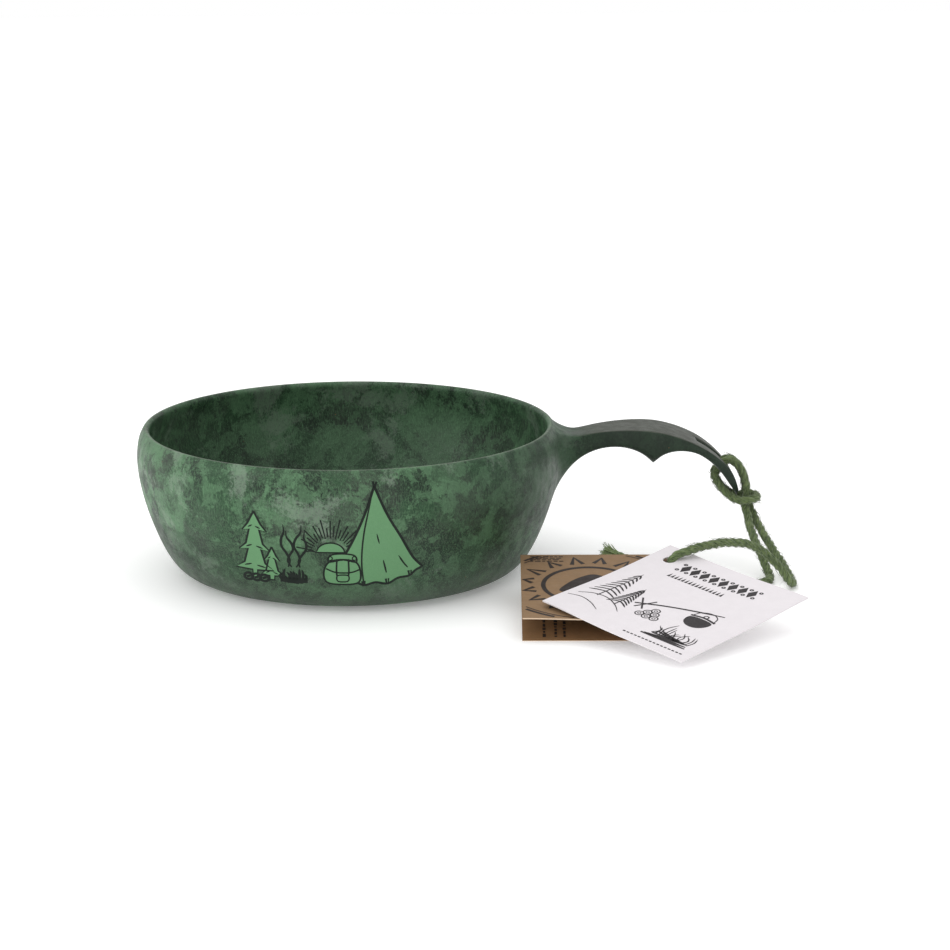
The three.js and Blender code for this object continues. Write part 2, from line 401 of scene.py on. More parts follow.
class Graph:
    """Short names for adding and linking the nodes of one tree."""

    def __init__(self, tree):
        self.tree = tree
        self.nodes = tree.nodes
        self.column = 0

    def node(self, kind, inputs=None, **settings):
        """A node with its settings, and values or links for its inputs."""
        made = self.nodes.new(kind)
        self.column += 1
        made.location = (self.column % 12 * 180 - 1200, -(self.column // 12) * 260)
        for key, value in settings.items():
            setattr(made, key, value)
        for key, value in (inputs or {}).items():
            self.feed(made.inputs[key], value)
        return made

    def feed(self, socket, value):
        """Links an output to a socket, or sets the socket's own value."""
        if isinstance(value, bpy.types.NodeSocket):
            self.tree.links.new(value, socket)
        else:
            socket.default_value = value

    def math(self, operation, a, b=0.0):
        """One sum of two values."""
        return self.node("ShaderNodeMath", {0: a, 1: b}, operation=operation).outputs[0]

    def mix(self, share, a, b):
        """A mix of two colours."""
        node = self.node("ShaderNodeMix", data_type="RGBA")
        self.feed(node.inputs[0], share)
        self.feed(node.inputs[6], a)
        self.feed(node.inputs[7], b)
        return node.outputs[2]

    def fade(self, value, low, high, to_low=0.0, to_high=1.0):
        """A value moved smoothly from one range to another, held at its ends."""
        inputs = {0: value, 1: low, 2: high, 3: to_low, 4: to_high}
        return self.node("ShaderNodeMapRange", inputs, interpolation_type="SMOOTHSTEP").outputs[0]

    def place(self, coordinates, scale=(1, 1, 1), offset=(0, 0, 0), turned=(0, 0, 0)):
        """The coordinates moved, turned and scaled."""
        inputs = {"Vector": coordinates, "Scale": scale, "Location": offset, "Rotation": turned}
        return self.node("ShaderNodeMapping", inputs).outputs[0]

    def noise(self, coordinates, scale, detail, roughness, distortion=0.0):
        """Cloud noise, from 0 to 1."""
        inputs = {
            "Vector": coordinates, "Scale": scale, "Detail": detail,
            "Roughness": roughness, "Distortion": distortion,
        }
        return self.node("ShaderNodeTexNoise", inputs).outputs[0]


def colour(red, green, blue):
    """A colour given as it shows on a screen, from 0 to 255, as the linear one that shaders use."""
    def linear(value):
        share = value / 255
        return share / 12.92 if share <= 0.04045 else ((share + 0.055) / 1.055) ** 2.4
    return (linear(red), linear(green), linear(blue), 1.0)


def shade(tone, share, lift=0.0):
    """A darker or lighter tone: a share of each value, and a lift."""
    return tuple(min(1.0, value * share + lift) for value in tone[:3]) + (1.0,)


def group(name, inputs, outputs, build):
    """A node group with these sockets, built once. build gets its graph, inputs and output node."""
    found = bpy.data.node_groups.get(name)
    if found:
        return found
    tree = bpy.data.node_groups.new(name, "ShaderNodeTree")
    for label, kind, value in inputs:
        socket = tree.interface.new_socket(name=label, in_out="INPUT", socket_type=kind)
        if value is not None:
            socket.default_value = value
    for label, kind in outputs:
        tree.interface.new_socket(name=label, in_out="OUTPUT", socket_type=kind)
    graph = Graph(tree)
    start = graph.node("NodeGroupInput")
    end = graph.node("NodeGroupOutput")
    build(graph, start.outputs, end)
    return tree


def use_group(graph, tree, inputs):
    """A group placed in a material, with its own values."""
    node = graph.node("ShaderNodeGroup", node_tree=tree)
    for key, value in inputs.items():
        graph.feed(node.inputs[key], value)
    return node.outputs


FLOAT, VECTOR = "NodeSocketFloat", "NodeSocketVector"


def clouds_group():
    """Feathered patches of pressed fibre, each with a thin curdled edge."""
    def build(graph, given, end):
        ragged = graph.noise(given["Vector"], 0.62, 7, 0.74, 1.1)
        wide = graph.noise(given["Vector"], given["Scale"], 5, 0.55, 0.5)
        rough = graph.math("MULTIPLY", graph.math("SUBTRACT", ragged, 0.5), given["Ragged"])
        field = graph.math("ADD", wide, rough)
        low = graph.math("SUBTRACT", given["Level"], given["Softness"])
        high = graph.math("ADD", given["Level"], given["Softness"])
        mask = graph.fade(field, low, high)
        near = graph.math("ABSOLUTE", graph.math("SUBTRACT", field, given["Level"]))
        edge = graph.fade(near, 0.0, 0.012, 1.0, 0.0)
        graph.feed(end.inputs["Mask"], mask)
        graph.feed(end.inputs["Edge"], edge)
        graph.feed(end.inputs["Field"], field)

    inputs = [
        ("Vector", VECTOR, None), ("Scale", FLOAT, 0.08), ("Level", FLOAT, 0.5),
        ("Softness", FLOAT, 0.04), ("Ragged", FLOAT, 0.3),
    ]
    outputs = [("Mask", FLOAT), ("Edge", FLOAT), ("Field", FLOAT)]
    return group("Pressed fibre clouds", inputs, outputs, build)


def fibres_group():
    """Short pale fibres lying in two directions, as a mask from 0 to 1."""
    def build(graph, given, end):
        wander = graph.noise(given["Vector"], 0.12, 2, 0.5)
        swing = graph.math("MULTIPLY", graph.math("SUBTRACT", wander, 0.5), 3.0)
        tilted = graph.node("ShaderNodeCombineXYZ", {0: 0.0, 1: swing, 2: 0.0}).outputs[0]
        total = None
        moved = graph.node("ShaderNodeVectorMath", {0: given["Vector"], 1: tilted}, operation="ADD")
        for stretch, lean in (((4.4, 4.4, 0.4), (0, 0.25, 0)), ((3.8, 3.8, 0.45), (0.5, -0.6, 0.4))):
            lines = graph.noise(graph.place(moved.outputs[0], stretch, turned=lean), 1.0, 3, 0.6)
            mask = graph.fade(lines, 0.54, 0.66)
            total = mask if total is None else graph.math("MAXIMUM", total, mask)
        graph.feed(end.inputs["Mask"], graph.math("MULTIPLY", total, given["Amount"]))

    inputs = [("Vector", VECTOR, None), ("Amount", FLOAT, 1.0)]
    return group("Loose fibres", inputs, [("Mask", FLOAT)], build)


def specks_group():
    """Small scattered specks, as a mask from 0 to 1."""
    def build(graph, given, end):
        warped = graph.noise(given["Vector"], 1.6, 2, 0.5)
        inputs = {"Vector": given["Vector"], "Scale": given["Scale"], "Randomness": 1.0}
        cells = graph.node("ShaderNodeTexVoronoi", inputs)
        size = graph.math("ADD", cells.outputs["Distance"], graph.math("MULTIPLY", warped, 0.12))
        dot = graph.fade(size, given["Size"], graph.math("ADD", given["Size"], 0.06), 1.0, 0.0)
        chance = graph.node("ShaderNodeSeparateColor", {0: cells.outputs["Color"]}).outputs[0]
        rare = graph.math("GREATER_THAN", chance, given["Rarity"])
        graph.feed(end.inputs["Mask"], graph.math("MULTIPLY", dot, rare))

    inputs = [
        ("Vector", VECTOR, None), ("Scale", FLOAT, 0.5), ("Size", FLOAT, 0.12),
        ("Rarity", FLOAT, 0.9),
    ]
    return group("Specks", inputs, [("Mask", FLOAT)], build)


def grain_group():
    """Fine surface grain as a height and a small change of roughness."""
    def build(graph, given, end):
        fine = graph.noise(given["Vector"], given["Scale"], 5, 0.6)
        broad = graph.noise(given["Vector"], graph.math("MULTIPLY", given["Scale"], 0.12), 3, 0.5)
        graph.feed(end.inputs["Height"], graph.math("ADD", fine, graph.math("MULTIPLY", broad, 0.6)))
        graph.feed(end.inputs["Roughness"], graph.fade(broad, 0.3, 0.7, given["Low"], given["High"]))

    inputs = [("Vector", VECTOR, None), ("Scale", FLOAT, 3.0), ("Low", FLOAT, 0.4), ("High", FLOAT, 0.6)]
    return group("Surface grain", inputs, [("Height", FLOAT), ("Roughness", FLOAT)], build)


def material(name, build):
    """A material whose build function gets its graph, millimetre coordinates and shader."""
    found = bpy.data.materials.get(name)
    if found:
        return found
    made = bpy.data.materials.new(name)
    made.use_nodes = True
    made.node_tree.nodes.clear()
    graph = Graph(made.node_tree)
    shader = graph.node("ShaderNodeBsdfPrincipled")
    output = graph.node("ShaderNodeOutputMaterial", {"Surface": shader.outputs[0]})
    output.location = (600, 0)
    metres = graph.node("ShaderNodeTexCoord").outputs["Object"]
    build(graph, graph.place(metres, (1 / MM, 1 / MM, 1 / MM)), shader)
    return made


def bump(graph, shader, height, strength, distance):
    """Feeds a height into the shader's normal."""
    node = graph.node("ShaderNodeBump", {"Height": height, "Strength": strength, "Distance": distance})
    graph.feed(shader.inputs["Normal"], node.outputs[0])


def set_shader(shader, **values):
    """Sets constants on the shader's own sockets, with _ for each space in a name."""
    for key, value in values.items():
        shader.inputs[key.replace("_", " ")].default_value = value


def grained(graph, mm, shader, scale, low, high):
    """Gives the shader grained roughness, and returns the grain's height."""
    grain = use_group(graph, grain_group(), {"Vector": mm, "Scale": scale, "Low": low, "High": high})
    graph.feed(shader.inputs["Roughness"], grain["Roughness"])
    return grain["Height"]


def composite_material(name, tones, inside):
    """Moulded wood-fibre composite: mottled greens with grey patches, fibres and specks, with painted
    shade, sheen and highlight.
    """
    def build(graph, mm, shader):
        across, _, height = graph.node("ShaderNodeSeparateXYZ", {0: mm}).outputs

        def patches(offset, scale, level, softness, ragged):
            inputs = {
                "Vector": graph.place(mm, offset=offset), "Scale": scale, "Level": level,
                "Softness": softness, "Ragged": ragged,
            }
            return use_group(graph, clouds_group(), inputs)

        def over(share, mask, below, tone):
            return graph.mix(graph.math("MULTIPLY", mask, share), below, tone)

        green = patches((0, 0, 0), 0.055, 0.5, 0.09, 0.5)
        grey = patches((-40, 25, 16), 0.035, 0.54, 0.1, 0.4)
        pale = patches((31, 12, -7), 0.05, 0.56, 0.04, 0.4)
        ashen = patches((-14, 40, 22), 0.06, 0.6, 0.05, 0.45)
        wisps = patches((9, -33, 4), 0.14, 0.56, 0.03, 0.5)
        tint = graph.mix(green["Mask"], tones.dark, tones.mid)
        tint = over(0.6, grey["Mask"], tint, tones.grey)
        tint = over(0.6, pale["Mask"], tint, tones.pale)
        tint = over(0.45, wisps["Mask"], tint, tones.pale)
        tint = over(0.55, ashen["Mask"], tint, tones.ash)
        gloom = graph.noise(graph.place(mm, offset=(5, 5, 60)), 0.09, 6, 0.7, 0.8)
        tint = graph.mix(graph.fade(gloom, 0.54, 0.66, 0.0, 0.6), tint, tones.dark)
        mealy = graph.noise(mm, 1.1, 6, 0.75)
        tint = graph.mix(graph.fade(mealy, 0.5, 0.68, 0.0, 0.5), tint, tones.dark)
        tint = graph.mix(graph.fade(mealy, 0.5, 0.34, 0.0, 0.3), tint, tones.pale)
        edges = graph.math("ADD", graph.math("ADD", pale["Edge"], green["Edge"]), wisps["Edge"])
        tint = over(0.4, edges, tint, tones.pale)
        # Painted shade: the inside is darkened as a whole, for the shade in the bowl's hollow; the grey
        # towards the floor is its own tone.
        if inside:
            tint = graph.mix(0.42, tint, tones.dark)
            floor = graph.math("ADD", height, graph.math("MULTIPLY", grey["Field"], 10.0))
            tint = graph.mix(graph.fade(floor, 6.0, 20.0, 0.7, 0.0), tint, tones.grey)
        fibres = use_group(graph, fibres_group(), {"Vector": mm, "Amount": 0.42})
        tint = graph.mix(fibres["Mask"], tint, tones.pale)
        # Painted shade: the outside darkens towards the handle, on the side away from the light.
        if not inside:
            painted_side_shade = graph.fade(across, 12.0, 68.0, 0.0, 0.62)
            tint = graph.mix(painted_side_shade, tint, tones.dark)
        # The handle's own greyer tone, set dark so that it also stands in as painted shade on that side.
        handle = graph.fade(across, 70.0, 90.0, 0.0, 0.72)
        tint = graph.mix(handle, tint, tones.handle)
        # Painted sheen and wear: upward faces of the handle go pale, standing for the softbox's
        # reflection as well as rubbing.
        rubbed = graph.node("ShaderNodeAttribute", attribute_name="Rubbed").outputs["Fac"]
        streaks = graph.noise(graph.place(mm, (0.5, 2.2, 2.2)), 0.5, 5, 0.65)
        streaky = graph.fade(streaks, 0.25, 0.75, 0.35, 0.8)
        tint = graph.mix(graph.math("MULTIPLY", rubbed, streaky), tint, tones.rubbed)
        inputs = {"Vector": mm, "Scale": 0.42, "Size": 0.07, "Rarity": 0.94}
        tint = over(0.75, use_group(graph, specks_group(), inputs)["Mask"], tint, tones.speck)
        # Painted highlight: a thin pale band along the top of the lip.
        tint = graph.mix(graph.fade(height, 50.8, 51.05, 0.0, 0.22), tint, tones.rim_highlight)
        graph.feed(shader.inputs["Base Color"], tint)
        grain = grained(graph, mm, shader, 2.4, 0.42, 0.56)
        relief = graph.math("ADD", grain, graph.math("MULTIPLY", fibres["Mask"], 1.2))
        bump(graph, shader, relief, 0.25, 0.06 * MM)
        set_shader(shader, Specular_IOR_Level=0.3)
    return material(name, build)


def ink_material(name, tone, grain_scale, worn):
    """Printed ink, slightly uneven where it sits on the grain."""
    def build(graph, mm, shader):
        patches = graph.noise(mm, grain_scale, 6, 0.7)
        thin = graph.fade(patches, 0.42, 0.72, 0.0, worn)
        inked = graph.mix(thin, tone, shade(tone, 1.6, 0.03))
        pitted = graph.fade(graph.noise(mm, grain_scale * 2.6, 4, 0.75), 0.52, 0.72, 0.0, worn * 2)
        graph.feed(shader.inputs["Base Color"], graph.mix(pitted, inked, shade(tone, 0.35)))
        bump(graph, shader, grained(graph, mm, shader, 2.4, 0.45, 0.6), 0.2, 0.04 * MM)
        set_shader(shader, Specular_IOR_Level=0.25)
    return material(name, build)


def jute_material(name, light, dark):
    """Dyed jute: streaks that run along each ply, with paler loose fibres."""
    def build(graph, mm, shader):
        along = graph.node("ShaderNodeTexCoord").outputs["UV"]
        yarn = graph.place(along, (9.0, 0.35, 1.0))
        streaks = graph.noise(yarn, 1.6, 5, 0.65, 0.4)
        patches = graph.noise(mm, 0.35, 4, 0.6)
        tone = graph.mix(graph.fade(streaks, 0.3, 0.66), dark, light)
        tone = graph.mix(graph.fade(patches, 0.45, 0.75, 0.0, 0.4), tone, dark)
        tone = graph.mix(graph.fade(streaks, 0.62, 0.78, 0.0, 0.55), tone, shade(light, 1.5, 0.02))
        graph.feed(shader.inputs["Base Color"], tone)
        graph.feed(shader.inputs["Roughness"], graph.fade(streaks, 0.3, 0.7, 0.8, 0.95))
        bump(graph, shader, streaks, 0.8, 0.18 * MM)
        set_shader(shader, Sheen_Weight=0.25, Sheen_Roughness=0.5, Specular_IOR_Level=0.2)
    return material(name, build)


def paper_material(name, base, fleck, fleck_amount, cloudiness):
    """Card stock: faint clouds, short fibres and flecks."""
    def build(graph, mm, shader):
        cloudy = graph.noise(mm, 0.25, 4, 0.6)
        fibre = graph.noise(graph.place(mm, (3.5, 0.7, 3.5), turned=(0, 0, 0.5)), 1.0, 5, 0.7)
        tone = graph.mix(graph.fade(cloudy, 0.3, 0.7), base, shade(base, 1 - cloudiness))
        tone = graph.mix(graph.fade(fibre, 0.55, 0.8, 0.0, fleck_amount), tone, fleck)
        inputs = {"Vector": mm, "Scale": 1.3, "Size": 0.1, "Rarity": 0.86}
        specks = use_group(graph, specks_group(), inputs)
        tone = graph.mix(graph.math("MULTIPLY", specks["Mask"], fleck_amount), tone, fleck)
        graph.feed(shader.inputs["Base Color"], tone)
        grain = grained(graph, mm, shader, 4.0, 0.6, 0.72)
        bump(graph, shader, graph.math("ADD", fibre, grain), 0.25, 0.03 * MM)
        set_shader(shader, Specular_IOR_Level=0.3)
    return material(name, build)


# ---------------------------------------------------------------- settings

def tone_property(label, note, shown):
    """A colour setting, given as it shows on a screen."""
    return bpy.props.FloatVectorProperty(
        name=label, description=note, subtype="COLOR", size=4, min=0.0, max=1.0,
        default=colour(*shown),
    )


def size_property(label, note, millimetres):
    """A length setting in metres, with its default in millimetres."""
    return bpy.props.FloatProperty(
        name=label, description=note, subtype="DISTANCE", unit="LENGTH", precision=5,
        default=millimetres * MM,
    )


def light_property(label, note, amount):
    """The power or strength of a light."""
    return bpy.props.FloatProperty(name=label, description=note, default=amount, min=0.0)


def count_property(label, note, default, least, most):
    """A whole number within limits."""
    return bpy.props.IntProperty(
        name=label, description=note, default=default, min=least, max=most
    )


class KuksaCupSettings(bpy.types.PropertyGroup):
    """Colours of the moulded composite and fineness of the cup."""

    dark: tone_property("Dark green", "Deepest green of the composite", (18, 37, 23))
    mid: tone_property("Green", "Main green of the composite", (35, 68, 41))
    pale: tone_property("Pale green", "Feathered pale patches and fibres", (92, 131, 95))
    grey: tone_property("Grey brown", "Patches where the fibre shows", (62, 70, 61))
    ash: tone_property("Ash", "Palest grey of the feathered patches", (126, 144, 126))
    # The handle's own greyer tone, set dark as painted shade as well
    handle: tone_property("Handle", "Greyer tone of the handle", (25, 37, 27))
    speck: tone_property("Specks", "Small bark specks", (150, 96, 48))
    # Painted sheen on the handle's top, and its wear
    rubbed: tone_property("Rubbed top", "Top of the handle, rubbed pale by use", (68, 69, 60))
    # Tone of the painted highlight on the lip
    rim_highlight: tone_property("Rim", "Polished top of the lip", (150, 152, 138))
    levels: count_property("Subdivision", "Subdivision levels of the cup", 2, 1, 3)


class KuksaPrintSettings(bpy.types.PropertyGroup):
    """Inks of the outdoor scene on the bowl and the drawings on the labels."""

    fill: tone_property("Print green", "Light ink on the bowl", (94, 138, 97))
    outline: tone_property("Print outline", "Dark ink on the bowl", (7, 20, 12))
    card_ink: tone_property("Card ink", "Ink on the white card", (44, 40, 42))
    kraft_ink: tone_property("Kraft ink", "Ink on the kraft card", (44, 36, 34))
    lift: size_property("Ink lift", "How far the ink stands off its surface", 0.05)


class KuksaCordSettings(bpy.types.PropertyGroup):
    """Three-ply jute cord."""

    light: tone_property("Light fibre", "Sunny side of the jute", (120, 136, 90))
    dark: tone_property("Dark fibre", "Shaded side of the jute", (54, 71, 45))
    frayed: tone_property("Frayed fibre", "Opened fibres at the cut end", (140, 158, 108))
    ply_radius: size_property("Ply radius", "Radius of one ply", 0.84)
    ply_offset: size_property("Ply offset", "Distance of each ply from the cord's middle", 0.64)
    lay_length: size_property("Lay", "Length of one full twist", 8.0)
    fibres: count_property("Loose fibres", "Loose fibres on each strand", 900, 0, 1500)


class KuksaLabelSettings(bpy.types.PropertyGroup):
    """Stock of the hanging cards."""

    white: tone_property("White card", "Coated white stock", (225, 220, 223))
    kraft: tone_property("Kraft card", "Brown kraft stock", (140, 113, 84))
    # Painted shade: the lower leaf is the same kraft in a darker tone, for the shade under the top leaf.
    kraft_lower_shaded: tone_property("Inner kraft", "Lower leaf of the folded card", (134, 102, 70))
    kraft_edge: tone_property("Cut edge", "Pale cut edge of the kraft", (214, 190, 164))
    thickness: size_property("Thickness", "Thickness of the card stock", 0.42)
    hole: size_property("Hole radius", "Radius of the punched hole", 2.2)


class KuksaStageSettings(bpy.types.PropertyGroup):
    """Pale floor, soft light and the camera."""

    floor: tone_property("Floor", "Colour of the floor", (250, 250, 250))
    overhead: light_property("Overhead", "Power of the overhead softbox", 18.0)
    front: light_property("Front", "Power of the front fill", 1.2)
    side: light_property("Side", "Power of the left fill", 3.6)
    glow: light_property("Glow", "Light that the floor gives off itself", 0.2)
    sky: light_property("Surround", "Strength of the white surround", 0.8)


# ---------------------------------------------------------------- operators

def area_light(name, place, size, power):
    """A soft rectangular light that faces the cup."""
    light = bpy.data.lights.new(name, "AREA")
    light.shape = "RECTANGLE"
    light.size, light.size_y = size
    light.energy = power
    lamp = bpy.data.objects.new(name, light)
    lamp.location = place
    lamp.rotation_euler = (Vector(LIGHT_AIM) - Vector(place)).to_track_quat("-Z", "Y").to_euler()
    bpy.context.scene.collection.objects.link(lamp)


class KUKSA_OT_stage(bpy.types.Operator):
    """Set up the pale floor, the soft light and the camera"""

    bl_idname = "kuksa.stage"
    bl_label = "Stage"

    def execute(self, context):
        settings, scene = context.scene.kuksa_stage, context.scene
        deselect()
        floor_height = min(0.0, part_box("cup_body")[0].z)
        bpy.ops.mesh.primitive_plane_add(size=FLOOR_SIZE, location=(0, 0, floor_height))
        floor = context.object
        floor.name = "floor"

        def floor_finish(_graph, _mm, shader):
            set_shader(
                shader, Base_Color=settings.floor, Roughness=0.6, Specular_IOR_Level=0.2,
                Emission_Color=WHITE, Emission_Strength=settings.glow,
            )

        floor.data.materials.append(material("Studio floor", floor_finish))

        world = bpy.data.worlds.new("Studio")
        world.use_nodes = True
        world.node_tree.nodes.clear()
        graph = Graph(world.node_tree)
        lit = graph.node("ShaderNodeBackground", {"Color": WHITE, "Strength": settings.sky})
        seen = graph.node("ShaderNodeBackground", {"Color": WHITE, "Strength": 1.0})
        path = graph.node("ShaderNodeLightPath").outputs["Is Camera Ray"]
        both = graph.node("ShaderNodeMixShader", {0: path, 1: lit.outputs[0], 2: seen.outputs[0]})
        graph.node("ShaderNodeOutputWorld", {"Surface": both.outputs[0]})
        scene.world = world

        area_light("overhead_softbox", (0.05, 0.2, 1.8), (3.2, 3.2), settings.overhead)
        area_light("front_fill", (-0.35, -1.3, 0.8), (0.9, 0.7), settings.front)
        area_light("left_fill", (-1.1, -0.45, 0.55), (0.7, 0.7), settings.side)

        camera = bpy.data.objects.new("camera", bpy.data.cameras.new("camera"))
        camera.data.lens = CAMERA_LENS
        camera.data.clip_start = 0.01
        turned = Euler([math.radians(angle) for angle in CAMERA_ANGLES]).to_matrix()
        camera.matrix_world = Matrix.Translation(CAMERA_PLACE) @ turned.to_4x4()
        scene.collection.objects.link(camera)
        scene.camera = camera
        scene.view_settings.view_transform = "Standard"
        return {"FINISHED"}


def plies(tubes, line, settings, start_turn=0.0, flare=0.0):
    """Twists the plies along a line, from a first turn, and opened at its end by flare."""
    step = (line[1] - line[0]).length
    frames = frames_along(line)
    for ply in range(PLY_COUNT):
        centres = []
        for i, (point, (side, up)) in enumerate(zip(line, frames)):
            twist = i * step / settings.lay_length + ply / PLY_COUNT
            angle = 2 * math.pi * twist + start_turn
            reach = settings.ply_offset * (1 + flare * (i / len(line)) ** 3)
            centres.append(point + (side * math.cos(angle) + up * math.sin(angle)) * reach)
        swell = [1 + 0.05 * math.sin(i * 0.9 + ply * 2.1) for i in range(len(line))]
        radii = [settings.ply_radius * s for s in swell]
        tubes.add(centres, radii, PLY_SIDES, ply * PLY_TONE)


def loose_fibres(tubes, line, settings, seed):
    """Adds fine fibres that leave the cord at a low angle and curl."""
    rng = random.Random(seed)
    frames = frames_along(line)
    radius = settings.ply_radius + settings.ply_offset
    for _ in range(settings.fibres):
        i = rng.randrange(1, len(line) - BARE_END)
        side, up = frames[i]
        angle = rng.uniform(0, 2 * math.pi)
        outward = side * math.cos(angle) + up * math.sin(angle)
        along = (line[i + 1] - line[i]).normalized() * rng.choice((-1, 1))
        around = along.cross(outward) * rng.uniform(-0.7, 0.7)
        short = rng.random() < 0.7
        length = (rng.uniform(0.8, 2.2) if short else rng.uniform(2.0, LONGEST_FIBRE)) * MM
        rise = rng.uniform(0.15, 0.6)
        start = line[i] + outward * radius * 0.9
        points = []
        for k in range(5):
            t = k / 4
            curl = outward * (rise * t * (1.3 - t)) + (along + around * t) * t
            point = start + curl * length
            point.z = max(point.z, FIBRE_CLEARANCE * MM)
            points.append(point)
        thin = rng.uniform(0.04, 0.07) * MM
        radii = [thin * share for share in FIBRE_TAPER]
        tubes.add(points, radii, FIBRE_SIDES, rng.uniform(0, TONE_RANGE))


def metres(points):
    """Millimetre points as vectors in metres."""
    return [Vector(p) * MM for p in points]


def strand_line(rest, mirrored):
    """One strand's centreline: the hitch, mirrored or not, and the rest of its route."""
    hitch = [(x, -y, z) for x, y, z in HITCH] if mirrored else HITCH
    line = evenly(smooth(metres(hitch + rest), 14), CORD_STEP * MM)
    for point in line:
        point.z = max(point.z, RESTING_HEIGHT * MM)
    return line


class KUKSA_OT_cords(bpy.types.Operator):
    """Twist the jute cord in its two strands, with the knot and its frayed tail"""

    bl_idname = "kuksa.cords"
    bl_label = "Cord and knot"

    def execute(self, context):
        settings = context.scene.kuksa_cord
        jute = jute_material("Dyed jute", settings.light, settings.dark)
        made = {}
        routes = {
            "cord_under": (UNDER_STRAND, True, "cord_under_strand"),
            "cord_over": (OVER_STRAND, False, "cord_over_strand"),
        }
        for seed, (name, (rest, mirrored, node)) in enumerate(routes.items()):
            line = strand_line(rest, mirrored)
            tubes, hairs = TubeMesh(), TubeMesh()
            plies(tubes, line, settings)
            loose_fibres(hairs, line, settings, seed + SEEDS["fibres"])
            strand, fuzz = tubes.piece(name), hairs.piece(name + "_fibres")
            for piece in (strand, fuzz):
                piece.data.materials.append(jute)
            finish_piece(strand, CUP_BODY, "jute", node)
            finish_piece(fuzz, CUP_BODY, "jute")
            made[name] = (strand, line, [fuzz])

        knot = self.knot(settings)
        tuft = self.tuft()
        knot.data.materials.append(jute)
        tuft.data.materials.append(jute_material("Jute fibre ends", settings.frayed, settings.light))
        finish_piece(knot, CUP_BODY, "jute", "cord_knot")
        finish_piece(tuft, CUP_BODY, "jute")

        made["cord_over"][2].extend((knot, tuft))
        for name, length in (("cord_under", UNDER_LENGTH), ("cord_over", OVER_LENGTH)):
            strand, line, pieces = made[name]
        return {"FINISHED"}

    def knot(self, settings):
        """An overhand knot drawn tight, with its tail."""
        tubes = TubeMesh()
        centre, radii = Vector(KNOT_CENTRE) * MM, Vector(KNOT_RADII) * MM
        inner = settings.ply_radius + settings.ply_offset
        reach = radii - Vector((inner, inner, inner))
        loop = []
        for i in range(KNOT_STEPS + 1):
            t = 2 * math.pi * i / KNOT_STEPS
            x = (math.sin(t) + 2 * math.sin(2 * t)) / 3
            y = (math.cos(t) - 2 * math.cos(2 * t)) / 3
            z = -math.sin(3 * t) * 0.8
            loop.append(centre + Vector((x * reach.x, y * reach.y, z * reach.z)))
        plies(tubes, evenly(loop, CORD_STEP * MM), settings)
        tail = evenly(smooth([centre] + metres(TAIL), 10), CORD_STEP * MM)
        plies(tubes, tail, settings, start_turn=0.8, flare=0.25)
        for strand in (UNDER_STRAND, OVER_STRAND):
            before, end = metres(strand[-2:])
            stub = smooth([before.lerp(end, 0.7), end, centre], 10)
            plies(tubes, evenly(stub, CORD_STEP * MM), settings)
        return tubes.piece("cord_knot_tied")

    def tuft(self):
        """The tail's cut end, where the plies have opened into fibres."""
        rng = random.Random(SEEDS["tuft"])
        tubes = TubeMesh()
        before, end = metres(TAIL[-2:])
        forward = (end - before).normalized()
        side = forward.orthogonal().normalized()
        up = forward.cross(side)
        root = end - forward * TUFT_LENGTH * MM
        for _ in range(TUFT_FIBRES):
            angle, spread = rng.uniform(0, 2 * math.pi), math.sqrt(rng.random())
            outward = side * math.cos(angle) + up * math.sin(angle)
            start = root + outward * spread * 1.05 * MM + forward * rng.uniform(0, 1.5) * MM
            reach = rng.uniform(4.2, 7.2) * MM
            opened = outward * spread * rng.uniform(0.25, 0.62)
            sway = side * rng.uniform(-0.12, 0.12) + up * rng.uniform(-0.12, 0.12)
            points = [
                start + (forward * t + opened * t * t + sway * t * t) * reach
                for t in (0, 0.25, 0.5, 0.75, 1)
            ]
            thick = rng.uniform(0.09, 0.19) * MM
            radii = [thick * share for share in TUFT_TAPER]
            tubes.add(points, radii, TUFT_SIDES, rng.uniform(0, TONE_RANGE))
        return tubes.piece("cord_tail_tuft")


